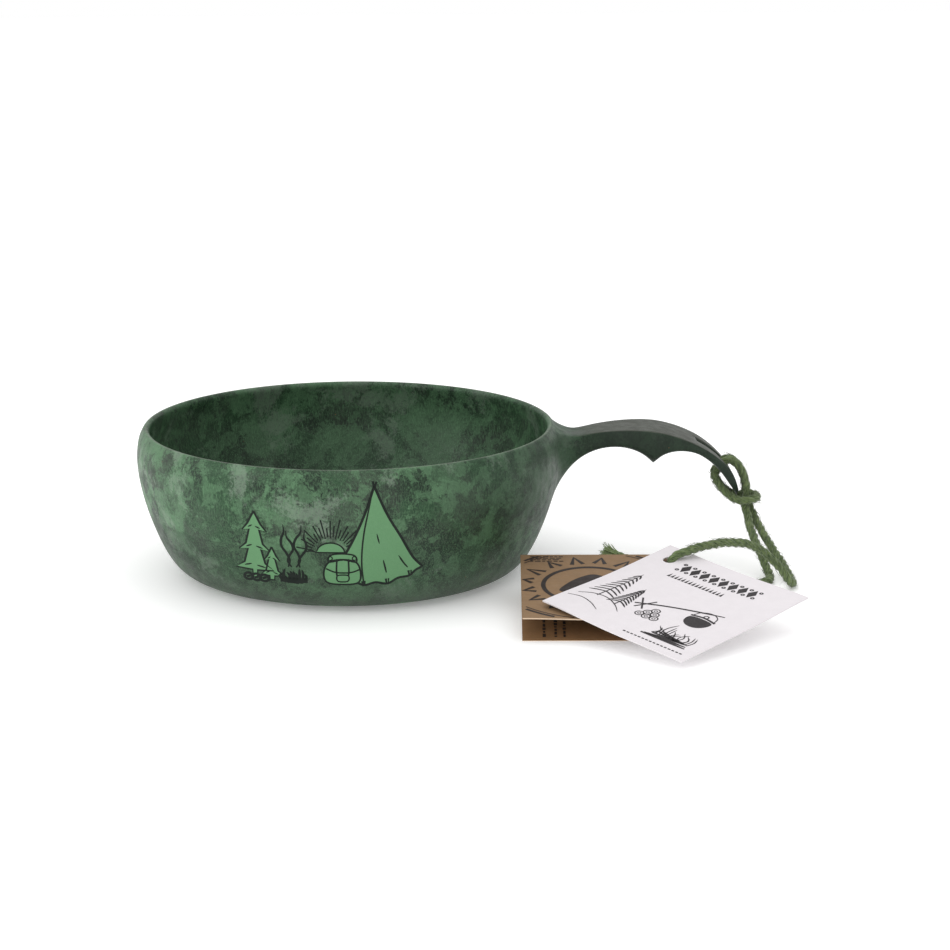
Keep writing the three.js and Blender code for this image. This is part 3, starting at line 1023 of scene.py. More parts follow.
class KUKSA_OT_cup(bpy.types.Operator):
    """Model the bowl and its handle as one moulded shell"""

    bl_idname = "kuksa.cup"
    bl_label = "Cup shell"

    def execute(self, context):
        settings = context.scene.kuksa_cup
        cup = self.bowl()
        self.handle(cup)
        self.close(cup)
        self.creases(cup)
        apply_modifier(cup, "SUBSURF", levels=settings.levels, render_levels=settings.levels)
        self.paint(cup, settings)
        finish_piece(cup, CUP_BODY, "moulded_composite", "cup_body")
        return {"FINISHED"}

    def ring(self, radius, height, last):
        """Extrudes the selected ring to a new radius and height."""
        rise = (height - last[1]) * MM
        share = radius / last[0]
        bpy.ops.mesh.extrude_region_move(TRANSFORM_OT_translate={"value": (0, 0, rise)})
        bpy.ops.transform.resize(value=(share, share, 1), center_override=(0, 0, height * MM))
        return radius, height

    def bowl(self):
        """The outer wall, lip, inner wall and the start of the floor, from rings."""
        deselect()
        start = (OUTER_WALL[0][0] + FIRST_RING_SPREAD, OUTER_HEIGHTS[0])
        bpy.ops.mesh.primitive_circle_add(
            vertices=BOWL_SEGMENTS, radius=start[0] * MM, location=(0, 0, 0), fill_type="NOTHING"
        )
        cup = bpy.context.object
        cup.name = "cup_shell"
        edit(cup, everything=True)
        bpy.ops.transform.translate(value=(0, 0, start[1] * MM))
        last = start
        rings = [(value_at(OUTER_WALL, z, 1, 0) + WALL_ALLOWANCE, z) for z in OUTER_HEIGHTS[1:]]
        rings += list(LIP_RINGS)
        rings += [(value_at(INNER_WALL, z, 1, 0), z) for z in INNER_HEIGHTS]
        rings += [(radius, FLOOR_HEIGHT) for radius in FLOOR_RADII]
        for radius, height in rings:
            last = self.ring(radius, height, last)
        bpy.ops.mesh.fill_grid(span=BOWL_SEGMENTS // 4)
        low, reach = (start[1] + 0.05) * MM, FIRST_RING_REACH * MM
        pick(cup, "verts", lambda v: v.co.z < low and v.co.xy.length < reach)
        last = start
        for radius, height in BASE_RINGS:
            last = self.ring(radius, height, last)
        bpy.ops.mesh.fill_grid(span=BOWL_SEGMENTS // 4)
        return cup

    def handle(self, cup):
        """The handle, drawn out of the wall section by section."""
        half_angle = HANDLE_COLUMNS * math.pi / BOWL_SEGMENTS
        low, high = HANDLE_FOOT

        def on_foot(face):
            middle = face.calc_center_median()
            angle = abs(math.atan2(middle.y, middle.x))
            outside = middle.xy.length > FOOT_MIN_RADIUS * MM
            return outside and angle < half_angle and low * MM < middle.z < high * MM

        found = pick(cup, "faces", on_foot)
        if found != HANDLE_COLUMNS * HANDLE_ROWS:
            raise RuntimeError(f"the handle's foot has {found} faces")

        def bottom_at(x):
            half = TIP_REST + [RIDGE] if x > RIDGE[0] else [RIDGE] + ROOT_REST
            return value_at(half, x)

        centre, tilt = Vector((FOOT_X, 0, (low + high) / 2)), 0.0
        height, half_width = high - low, FOOT_WALL_RADIUS * math.sin(half_angle)
        for index, (top_x, bottom_x) in enumerate(HANDLE_SECTIONS):
            top = Vector((top_x, 0, value_at(HANDLE_TOP, top_x)))
            below = Vector((bottom_x, 0, bottom_at(bottom_x)))
            middle = (top + below) / 2
            new_tilt = math.atan2(top.x - below.x, top.z - below.z)
            new_height = (top - below).length
            new_width = value_at(HALF_WIDTHS, middle.x)
            move = (middle - centre) * MM
            bpy.ops.mesh.extrude_region_move(TRANSFORM_OT_translate={"value": move})
            at = middle * MM
            if index == 0:
                bpy.ops.transform.resize(value=(0, 1, 1), center_override=at)
            else:
                turn(-tilt, "Y", at)
            stretch = (1, new_width / half_width, new_height / height)
            bpy.ops.transform.resize(value=stretch, center_override=at)
            turn(new_tilt, "Y", at)
            centre, tilt, height, half_width = middle, new_tilt, new_height, new_width

    def close(self, cup):
        """Cuts the cord slot and turns all faces outwards."""
        first, last = (HANDLE_SECTIONS[i] for i in SLOT_SECTIONS)

        def between(co, slack):
            point = (co.x / MM, co.z / MM)
            past = co.x > SLOT_START * MM
            return past and self.lean(first, point) > -slack and self.lean(last, point) < slack

        def inner(v):
            near = 0.5 * MM < abs(v.co.y) < SLOT_EDGE_REACH * MM
            return near and between(v.co, 0.4) and not self.on_side(v)

        for sign in (1, -1):
            pick(cup, "verts", lambda v, s=sign: inner(v) and v.co.y * s > 0)
            bpy.ops.transform.resize(value=(1, 0, 1), center_override=(0, sign * SLOT_HALF_WIDTH * MM, 0))

        def cut_away(face):
            middle = face.calc_center_median()
            return between(middle, 0.0) and abs(middle.y) < SLOT_HALF_WIDTH * MM

        pick(cup, "faces", cut_away)
        bpy.ops.mesh.delete(type="FACE")
        pick(cup, "edges", lambda e: e.is_boundary)
        bpy.ops.mesh.bridge_edge_loops()
        bpy.ops.mesh.select_all(action="SELECT")
        bpy.ops.mesh.normals_make_consistent(inside=False)

    def lean(self, section, point):
        """How far a side-view point lies past the line of a handle section, in millimetres."""
        top = Vector((section[0], value_at(HANDLE_TOP, section[0])))
        below = Vector((section[1], value_at(TIP_REST + [RIDGE], section[1])))
        line = (top - below).normalized()
        across = Vector((line.y, -line.x))
        return (Vector(point) - below).dot(across)

    def on_side(self, vertex):
        """True on the handle's outer side faces."""
        return any(abs(f.normal.y) > 0.8 for f in vertex.link_faces)

    def creases(self, cup):
        """Sharpens the handle's upper edges, the finger ridge and the slot's edges."""
        edit(cup)

        def top_edge(edge, low_x, high_x):
            a, b = edge.verts[0].co, edge.verts[1].co
            middle = (a + b) / 2
            if not low_x * MM <= middle.x < high_x * MM or abs(a.x - b.x) < 0.6 * MM:
                return False
            normals = [f.normal for f in edge.link_faces]
            if len(normals) != 2 or abs(middle.y) < 2.95 * MM:
                return False
            up, side = sorted(normals, key=lambda n: abs(n.y))
            return up.z > 0.3 and abs(side.y) > 0.55 and abs(up.y) < 0.3

        for low_x, high_x, amount in ((80, 86, 0.35), (86, 92, 0.6), (92, 133, 0.78)):
            pick(cup, "edges", lambda e: top_edge(e, low_x, high_x))
            bpy.ops.transform.edge_crease(value=amount)

        def ridge_edge(edge):
            a, b = edge.verts[0].co, edge.verts[1].co
            flat = abs(a.x - b.x) < 0.2 * MM and abs(a.z - b.z) < 0.2 * MM
            return flat and abs(a.x / MM - RIDGE[0]) < 0.6 and a.z < RIDGE_CREASE_TOP * MM

        pick(cup, "edges", ridge_edge)
        bpy.ops.transform.edge_crease(value=1.0)

        def slot_edge(edge):
            half = (SLOT_HALF_WIDTH + 0.05) * MM
            inside = all(abs(v.co.y) <= half and v.co.x > SLOT_START * MM for v in edge.verts)
            sharp = edge.calc_face_angle(0.0) > math.radians(50)
            return inside and len(edge.link_faces) == 2 and sharp

        pick(cup, "edges", slot_edge)
        bpy.ops.transform.edge_crease(value=0.6)
        bpy.ops.object.mode_set(mode="OBJECT")

    def paint(self, cup, settings):
        """Gives the shell its outer material and its inner one, darkened as painted shade, a mask of
        painted sheen and wear on the handle's top, and smooth shading.
        """
        shade_smooth(cup)
        cup.data.materials.append(composite_material("Moulded composite", settings, False))
        cup.data.materials.append(composite_material("Moulded composite inside", settings, True))
        # Faces inside the bowl take the copy darkened as painted shade.
        for face in cup.data.polygons:
            middle = face.center
            inside = middle.xy.length < INSIDE_RADIUS * MM and middle.z > INSIDE_BOTTOM * MM
            face.material_index = int(inside)
        # Mask of painted sheen and wear: the handle's upward faces, fading in along its length.
        rubbed = cup.data.attributes.new("Rubbed", "FLOAT", "POINT")
        for vertex, value in zip(cup.data.vertices, rubbed.data):
            facing = min(1.0, max(0.0, (vertex.normal.z - 0.45) / 0.25))
            along = min(1.0, max(0.0, (vertex.co.x / MM - RUBBED_SHEEN_START) / RUBBED_SHEEN_FADE))
            value.value = facing * along


# ---------------------------------------------------------------- printed drawings

class Drawing:
    """Fills and brush strokes in one flat drawing, in millimetres, laid on a surface afterwards."""

    def __init__(self, weight=1.0):
        self.points, self.faces = [], []
        self.weight = weight

    def fill(self, outline):
        """A filled closed outline."""
        base = len(self.points)
        self.points += [(p[0], p[1], 0.0) for p in outline]
        self.faces.append(tuple(range(base, base + len(outline))))

    def stroke(self, points, width, start=1.0, end=1.0, closed=False, rounded=True):
        """A brush stroke through points, whose ends keep a share of its width."""
        line = [Vector((p[0], p[1], 0)) for p in points]
        if rounded:
            line = smooth(line, 6, closed)
        if closed:
            line.append(line[0].copy())
        if rounded:
            line = evenly(line, 0.8)
        base, last = len(self.points), len(line) - 1
        for i, point in enumerate(line):
            if closed and i in (0, last):
                ahead = line[1] - line[-2]
            else:
                ahead = line[min(i + 1, last)] - line[max(i - 1, 0)]
            ahead = ahead.normalized() if ahead.length > 0 else Vector((1, 0, 0))
            across = Vector((-ahead.y, ahead.x, 0))
            t = i / last
            tip, inwards = (start, t) if t < 0.5 else (end, 1 - t)
            share = tip + (1 - tip) * min(1, inwards * 4)
            for sign in (1, -1):
                place = point + across * sign * width / 2 * share * self.weight
                self.points.append((place.x, place.y, 0.0))
        for i in range(last):
            a = base + i * 2
            self.faces.append((a, a + 1, a + 3, a + 2))

    def bar(self, x, y, length, width, angle=0.0):
        """A short straight mark with square ends."""
        ahead = Vector((math.cos(angle), math.sin(angle))) * length / 2
        self.stroke([(x - ahead.x, y - ahead.y), (x + ahead.x, y + ahead.y)], width, rounded=False)

    def ring(self, x, y, radius, width):
        """A ring."""
        points = []
        for degree in range(0, 366, 6):
            angle = math.radians(degree)
            points.append((x + math.cos(angle) * radius, y + math.sin(angle) * radius))
        self.stroke(points, width, rounded=False)

    def piece(self, name, matrix, target, lift, reach):
        """The drawing as thin ink on the target, projected along its own Z, cut to faces of reach."""
        made = mesh_piece(name, self.points, self.faces)
        edit(made)
        for axis in (0, 1):
            values = [p[axis] for p in self.points]
            steps = int((max(values) - min(values)) / reach)
            for i in range(1, steps + 1):
                place, normal = [0, 0, 0], [0, 0, 0]
                place[axis] = min(values) + i * reach
                normal[axis] = 1
                bpy.ops.mesh.select_all(action="SELECT")
                bpy.ops.mesh.bisect(plane_co=place, plane_no=normal)
        bpy.ops.mesh.select_all(action="SELECT")
        bpy.ops.mesh.quads_convert_to_tris()
        bpy.ops.object.mode_set(mode="OBJECT")
        settle(made, matrix @ Matrix.Scale(MM, 4))
        down = (matrix.to_3x3() @ Vector((0, 0, -1))).normalized()
        edit(made)
        if any(face.normal.dot(down) > 0 for face in made.data.polygons):
            pick(made, "faces", lambda f: f.normal.dot(down) > 0)
            bpy.ops.mesh.flip_normals()
        bpy.ops.object.mode_set(mode="OBJECT")
        self.lay(made, down, target, lift)
        apply_modifier(made, "SOLIDIFY", thickness=INK_THICKNESS * MM, offset=1.0)
        return made

    def lay(self, made, down, target, lift):
        """Moves each point along down onto the target, and lifts it off by its surface's normal."""
        tree = BVHTree.FromObject(target, bpy.context.evaluated_depsgraph_get())
        missed = 0
        for vertex in made.data.vertices:
            hit, normal, _, _ = tree.ray_cast(vertex.co - down * INK_RAY_START * MM, down)
            if hit is None:
                hit, _, _, far = tree.find_nearest(vertex.co + down * INK_SEARCH * MM)
                missed += far > INK_MISS * MM
                normal = -down
            vertex.co = hit + normal * lift
        if missed:
            raise RuntimeError(f"{made.name}: {missed} points of the drawing miss their surface")


def outlined(fills, lines, outline, width):
    """A filled shape with its outline in the dark ink."""
    fills.fill(outline)
    lines.stroke(outline + [outline[0]], width, rounded=False)


def rounded(points, closed=True):
    """A round outline through points."""
    return [(p.x, p.y) for p in smooth([Vector((x, y)) for x, y in points], 5, closed)]


def spruce(fills, lines, x, low, high, half_width, tiers, width):
    """A stylised spruce with drooping tiers and a trunk."""
    trunk = (high - low) * 0.12
    crown = high - low - trunk
    right = []
    for tier in range(tiers):
        top = high - crown * tier / tiers
        bottom = high - crown * (tier + 1) / tiers
        reach = half_width * (0.45 + 0.55 * (tier + 1) / tiers)
        right += [(x + reach * 0.55, bottom + (top - bottom) * 0.38), (x + reach, bottom + 0.3)]
        if tier < tiers - 1:
            right.append((x + reach * 0.42, bottom + 0.75))
    right += [(x + 0.8, low + trunk), (x + 0.75, low)]
    left = [(2 * x - px, py) for px, py in reversed(right)]
    outlined(fills, lines, [(x, high)] + right + left, width)
    for tier in range(tiers):
        level = high - crown * (tier + 0.72) / tiers
        reach = half_width * (0.2 + 0.35 * (tier + 1) / tiers)
        for bough in (
            [(x - reach, level - 0.5), (x - reach * 0.3, level + 0.3)],
            [(x + reach * 0.2, level - 0.1), (x + reach, level - 0.8)],
        ):
            lines.stroke(bough, width * 0.8, 0.4, 0.4)


def tent(fills, lines):
    """A pole tent with a door flap and pegs."""
    left = rounded([(7.9, 46.1), (4.6, 36.5), (0.2, 26.5), (-5.2, 16.6)], False)
    hem = rounded([
        (-5.2, 16.6), (-2.6, 14.6), (0.4, 13.4), (4.2, 11.2), (8, 12.1), (12, 11.4), (15.4, 13.3),
        (19.2, 13.9), (21, 15.6), (23.4, 16.9),
    ], False)
    right = rounded([(23.4, 16.9), (20.4, 20.6), (16.4, 28.5), (12, 36.6), (7.9, 46.1)], False)
    outlined(fills, lines, left[:-1] + hem[:-1] + right[:-1], 0.62)
    for pole in ((7.5, 47.6), (8.7, 47.4)):
        lines.stroke([(7.9, 45.6), pole], 0.5, rounded=False)
    lines.stroke([(7.2, 43.6), (4.4, 30), (3.6, 20), (4.2, 11.4)], 0.4, 0.5, 1)
    lines.stroke([(10.6, 20.4), (11.2, 17.6), (11.6, 15.6)], 0.42, 0.3, 0.6)
    lines.stroke([(15.6, 21.8), (17.4, 18.6), (18.6, 17)], 0.42, 0.3, 0.6)
    lines.stroke([(8.6, 30), (9.4, 26.4)], 0.34, 0.3, 0.3)
    for x, z in ((4.2, 11.6), (11.9, 12.2), (19.3, 14.7)):
        lines.stroke([(x - 0.5, z + 1.1), (x - 0.2, z - 0.9)], 0.7, 0.8, 0.5, rounded=False)
        lines.stroke([(x + 0.4, z + 1.2), (x + 0.3, z - 0.7)], 0.5, 0.8, 0.5, rounded=False)


def rucksack(fills, lines):
    """A packed rucksack that leans on the tent."""
    bag = rounded([
        (-7.9, 12.6), (-8.7, 16.4), (-7, 20), (-2.4, 21), (1.9, 19.8), (3.2, 16.2), (2.6, 12.4),
        (-2.6, 11.6),
    ])
    outlined(fills, lines, bag, 0.45)
    roll = rounded([(-7.2, 20.2), (-6.6, 22.4), (-2.2, 23.1), (1.5, 22.2), (1.9, 20.1), (-2.4, 20.9)])
    outlined(fills, lines, roll, 0.4)
    lines.stroke([(-8, 17.6), (-5.2, 16.3), (-2.5, 16), (0.4, 16.2), (2.9, 17.2)], 0.4)
    lines.stroke([(-4.4, 21.2), (-4.6, 16.3), (-4.4, 14.8)], 0.42)
    lines.stroke([(-0.7, 21.2), (-0.6, 16.1), (-0.8, 14.7)], 0.42)
    pocket = [(-4.4, 14.9), (-4.3, 12.9), (-2.6, 12.6), (-0.8, 12.9), (-0.7, 14.9), (-2.6, 15.2)]
    lines.stroke(rounded(pocket), 0.36, closed=True)
    for x in (-6.6, 1.3):
        lines.ring(x, 21.4, 0.7, 0.3)


def sunrise(fills, lines):
    """A half sun on a low ridge with thin rays."""
    x, y = -6.4, 23.5
    turns = [math.pi * i / 14 for i in range(15)]
    dome = [(x + math.cos(a) * 4.5, y + math.sin(a) * 3.5) for a in turns]
    outlined(fills, lines, dome, 0.36)
    for i in range(21):
        angle = math.radians(8 + i * 8.2)
        inner = 5.6 + 0.5 * (i % 2)
        outer = (11.2, 9, 10.4, 8.2)[i % 4]
        ray = [
            (x + math.cos(angle) * inner, y + math.sin(angle) * inner * 0.92),
            (x + math.cos(angle) * outer, y + math.sin(angle) * outer * 1.08),
        ]
        lines.stroke(ray, 0.46, 0.6, 0.8, rounded=False)
    lines.stroke([(-15.6, 23.3), (-12.8, 24), (-10.4, 23.3)], 0.36, 0.3, 0.6)


def campfire(lines, x, low, spread, rng, width):
    """Crossed logs with small flames above."""
    for i in range(5):
        y = low + 0.7 + 0.5 * (i % 2)
        lean = rng.uniform(-0.25, 0.25)
        left, right = x - spread * (0.9 - 0.12 * i), x + spread * (0.35 + 0.15 * i)
        lines.stroke([(left, y - lean * 2), (right, y + lean * 3)], width * 1.9)
    for i in range(9):
        start = x - spread * 0.8 + spread * 1.6 * i / 8
        tall = rng.uniform(2.2, 4.6)
        sway = rng.uniform(-0.8, 0.8)
        base = low + 1.2
        flame = [(start, base), (start + sway, base + tall * 0.5), (start - sway * 0.4, base + tall)]
        lines.stroke(flame, width * 1.2, 1.0, 0.2)
    for i in range(7):
        start = x - spread * 0.7 + spread * 1.4 * i / 6
        lines.stroke([(start - 0.5, low + 2.6), (start + 0.4, low + 0.7)], width, 0.4, 0.4)


def smoke(lines, x, low, high):
    """Four wavering lines of smoke, by turns high and low."""
    for lane, (shift, sway) in enumerate(((-4.2, 1.0), (-1.6, -1.1), (1.6, 1.2), (4.4, -0.9))):
        points = []
        top = high - 2.2 * (lane % 2)
        for i in range(7):
            t = i / 6
            drift = shift * (0.45 + 0.55 * t) + sway * math.sin(t * 8.5)
            points.append((x + drift, low + (top - low) * t))
        lines.stroke(points, 0.6, 0.6, 0.25)


class KUKSA_OT_bowl_print(bpy.types.Operator):
    """Print the camp scene on the front of the bowl"""

    bl_idname = "kuksa.bowl_print"
    bl_label = "Bowl print"

    def execute(self, context):
        settings = context.scene.kuksa_print
        cup = bpy.data.objects["cup_shell"]
        fills, tent_fill, bag_fill = Drawing(), Drawing(), Drawing()
        lines, tent_lines, bag_lines = (Drawing(BOWL_LINE_WEIGHT) for _ in range(3))
        sunrise(fills, lines)
        tent(tent_fill, tent_lines)
        rucksack(bag_fill, bag_lines)
        spruce(fills, lines, -31.2, 12.4, 36.8, 6.2, 3, 0.5)
        spruce(fills, lines, -25.6, 12.2, 24.6, 3.6, 2, 0.44)
        campfire(lines, -18.6, 11.6, 4.8, random.Random(SEEDS["campfire"]), 0.55)
        smoke(lines, -18.4, 17.6, 33)
        for x in (-33.4, -30.8, -28.2):
            log = [(x - 1.4, 11.9), (x - 0.9, 13.6), (x + 0.7, 13.7), (x + 1.4, 12), (x, 11.2)]
            lines.stroke(rounded(log), 0.7, closed=True)
            lines.stroke([(x - 0.7, 12.2), (x + 0.6, 12.9)], 0.6)
        upright = Matrix.Rotation(math.pi / 2, 4, "X")
        matrix = Matrix.Translation((0, BOWL_PRINT_PLANE * MM, 0)) @ upright
        fill_ink = ink_material("Bowl ink green", settings.fill, 1.5, 0.1)
        line_ink = ink_material("Bowl ink dark", settings.outline, 1.5, 0.1)
        layers = (
            ("bowl_print_green", fills, fill_ink), ("bowl_print_lines", lines, line_ink),
            ("bowl_print_tent", tent_fill, fill_ink),
            ("bowl_print_tent_lines", tent_lines, line_ink),
            ("bowl_print_rucksack", bag_fill, fill_ink),
            ("bowl_print_rucksack_lines", bag_lines, line_ink),
        )
        for level, (name, drawing, ink) in enumerate(layers):
            lift = settings.lift * (0.6 + 0.4 * level)
            piece = drawing.piece(name, matrix, cup, lift, BOWL_CUT)
            piece.data.materials.append(ink)
            finish_piece(piece, CUP_BODY, "moulded_composite")
        return {"FINISHED"}


def card_sheet(name, corner, size, hole, settings, place, curls):
    """A thin card in its own plane, with a hole and corners lifted by curls, then placed."""
    deselect()
    bpy.ops.mesh.primitive_plane_add(size=1, location=(0, 0, 0))
    sheet = bpy.context.object
    sheet.name = name
    edit(sheet, everything=True)
    bpy.ops.transform.resize(value=(size[0] * MM, size[1] * MM, 1), center_override=(0, 0, 0))
    shift = Vector(((corner[0] + size[0] / 2) * MM, (corner[1] + size[1] / 2) * MM, 0))
    bpy.ops.transform.translate(value=shift)
    bpy.ops.mesh.subdivide(number_cuts=CARD_CUTS)
    bpy.ops.mesh.subdivide(number_cuts=1)
    for (x, y), rise, reach in curls:
        spot = Vector((x * MM, y * MM))
        pick(sheet, "verts", lambda v: (v.co.xy - spot).length < 0.6 * MM)
        bpy.ops.transform.translate(
            value=(0, 0, rise * MM), use_proportional_edit=True,
            proportional_edit_falloff="SMOOTH", proportional_size=reach * MM,
        )
    bpy.ops.object.mode_set(mode="OBJECT")
    shade_smooth(sheet)
    apply_modifier(sheet, "SOLIDIFY", thickness=settings.thickness, offset=0.0)
    punch_hole(sheet, hole, settings.hole)
    bpy.ops.object.shade_smooth_by_angle(angle=math.radians(35))
    settle(sheet, place)
    return sheet


def punch_hole(sheet, hole, radius):
    """Cuts a round hole through the sheet."""
    bpy.ops.mesh.primitive_cylinder_add(
        vertices=HOLE_VERTICES, radius=radius, depth=20 * MM,
        location=(hole[0] * MM, hole[1] * MM, 0),
    )
    punch = bpy.context.object
    apply_modifier(sheet, "BOOLEAN", operation="DIFFERENCE", object=punch, solver="EXACT")
    bpy.data.objects.remove(punch)
    choose(sheet)


class KUKSA_OT_picture_card(bpy.types.Operator):
    """Hang the white picture card with its drawing"""

    bl_idname = "kuksa.picture_card"
    bl_label = "Picture card"

    def execute(self, context):
        labels, prints = context.scene.kuksa_labels, context.scene.kuksa_print
        card = PICTURE_CARD
        place = (
            Matrix.Translation(THREAD_POINT)
            @ Matrix.Rotation(math.radians(PICTURE_CARD_TILT), 4, "X")
            @ Matrix.Rotation(math.radians(PICTURE_CARD_TURN), 4, "Z")
        )
        left, high = -card["from_left"], card["from_top"]
        right, low = left + card["width"], high - card["height"]
        size = (card["width"], card["height"])
        curls = (((left, low), 1.0, 34), ((right, high), 0.8, 30), ((left, high), 0.4, 22))
        sheet = card_sheet("picture_card_sheet", (left, low), size, (0, 0), labels, place, curls)
        stock = paper_material("White card stock", labels.white, colour(205, 200, 206), 0.25, 0.03)
        sheet.data.materials.append(stock)
        finish_piece(sheet, CARD_BODY, "white_card", "picture_card")

        above = place @ Matrix.Translation((0, 0, CARD_PRINT_PLANE * MM))
        lift = prints.lift * 0.5
        ink = self.drawing().piece("picture_card_print", above, sheet, lift, CARD_CUT)
        ink.data.materials.append(ink_material("Card ink", prints.card_ink, 2.2, 0.2))
        finish_piece(ink, CARD_BODY, "white_card")
        return {"FINISHED"}

    def drawing(self):
        """A band of diamonds, spruces on a hill, logs, and a kettle on a pole over a fire."""
        d, rng = Drawing(), random.Random(SEEDS["picture"])
        count = 8
        step = 32 / count
        for i in range(count):
            x, y = 6.4 + step * (i + 0.5), -1.4
            d.fill([(x - step * 0.4, y), (x, y + 3.1), (x + step * 0.4, y), (x, y - 3.1)])
        for i in range(count + 1):
            x = 6.4 + step * i
            d.ring(x, 0.9, 0.5, 0.5)
            d.ring(x, -3.7, 0.5, 0.5)
        for i in range(16):
            x = 7.6 + 22 * i / 15
            d.fill([(x - 0.55, -9.6), (x, -7.0), (x + 0.55, -9.6)])
        d.stroke([(-4.2, -40), (0, -36.8), (5, -36.2), (10.5, -38.6), (14, -41.5)], 0.42, 0.6, 0.5)
        d.stroke([(-5.6, -43.5), (-1, -42), (4, -43), (8.5, -45.4)], 0.36, 0.6, 0.5)
        for x, low, high, wide in ((1.4, -37.2, -14.5, 5.4), (9.6, -38.2, -22.5, 4.0)):
            self.inked_spruce(d, x, low, high, wide)
        d.stroke([(13.2, -32.2), (22, -27.5), (31, -23.8), (41, -20.4)], 0.85, 0.9, 0.6)
        d.stroke([(14.8, -34.4), (18.2, -27)], 0.6, rounded=False)
        d.stroke([(12.8, -27.6), (17.9, -34.2)], 0.6, rounded=False)
        self.kettle(d, 36.8, -28.8)
        self.log_pile(d, 22.4, -35.4)
        for i in range(15):
            x = 31 + 14.5 * i / 14
            tall = rng.uniform(4, 9.5)
            sway = rng.uniform(-1.6, 1.6)
            flame = [(x, -44.5), (x + sway, -44.5 + tall * 0.5), (x - sway * 0.5, -44.5 + tall)]
            d.stroke(flame, 0.42, 1, 0.3)
        for i in range(6):
            lean = rng.uniform(-1.2, 1.2)
            y = -46.6 + 0.75 * i
            d.stroke([(28.5 + i, y - lean), (37, y), (46.5 - i * 0.6, y + lean)], 0.95, 0.8, 0.6)
        for i in range(16):
            d.bar(24.5 + i * 1.55, -49.9, 1.0, 0.6)
        return d

    def inked_spruce(self, d, x, low, high, wide):
        """A brush-drawn spruce: a stem and drooping boughs that shorten upwards."""
        d.stroke([(x, low), (x, high)], 0.5, 1.0, 0.4, rounded=False)
        boughs = 9
        for i in range(boughs):
            y = high - (high - low) * (0.06 + 0.84 * i / boughs)
            reach = wide * (0.18 + 0.82 * (i + 1) / boughs)
            for side in (-1, 1):
                tip = x + side * reach
                d.stroke([(x, y), ((x + tip) / 2, y - 0.9), (tip, y - 2.3)], 0.62, 1.0, 0.35)

    def kettle(self, d, x, y):
        """A round kettle with a lid, hung by its bail."""
        d.fill(rounded([
            (x - 4.4, y + 1.6), (x - 4.2, y - 2), (x - 1.6, y - 4.2), (x + 1.8, y - 4.2),
            (x + 4.2, y - 1.9), (x + 4.4, y + 1.6),
        ]))
        d.stroke([(x - 4.9, y + 2.5), (x, y + 3.4), (x + 4.9, y + 2.5)], 0.9)
        bail = ((-4.4, 2.4), (-3.2, 6), (0, 7.4), (3.2, 6), (4.4, 2.4))
        d.stroke([(x + dx, y + dy) for dx, dy in bail], 0.38)
        d.ring(x, y + 4.3, 0.8, 0.45)

    def log_pile(self, d, x, y):
        """Cut logs, seen from their ends."""
        for dx, dy in ((-3, -1.6), (0, -1.9), (3, -1.6), (-1.5, 0.7), (1.5, 0.7), (0, 3)):
            d.ring(x + dx, y + dy, 1.4, 0.42)
            d.ring(x + dx, y + dy, 0.55, 0.28)


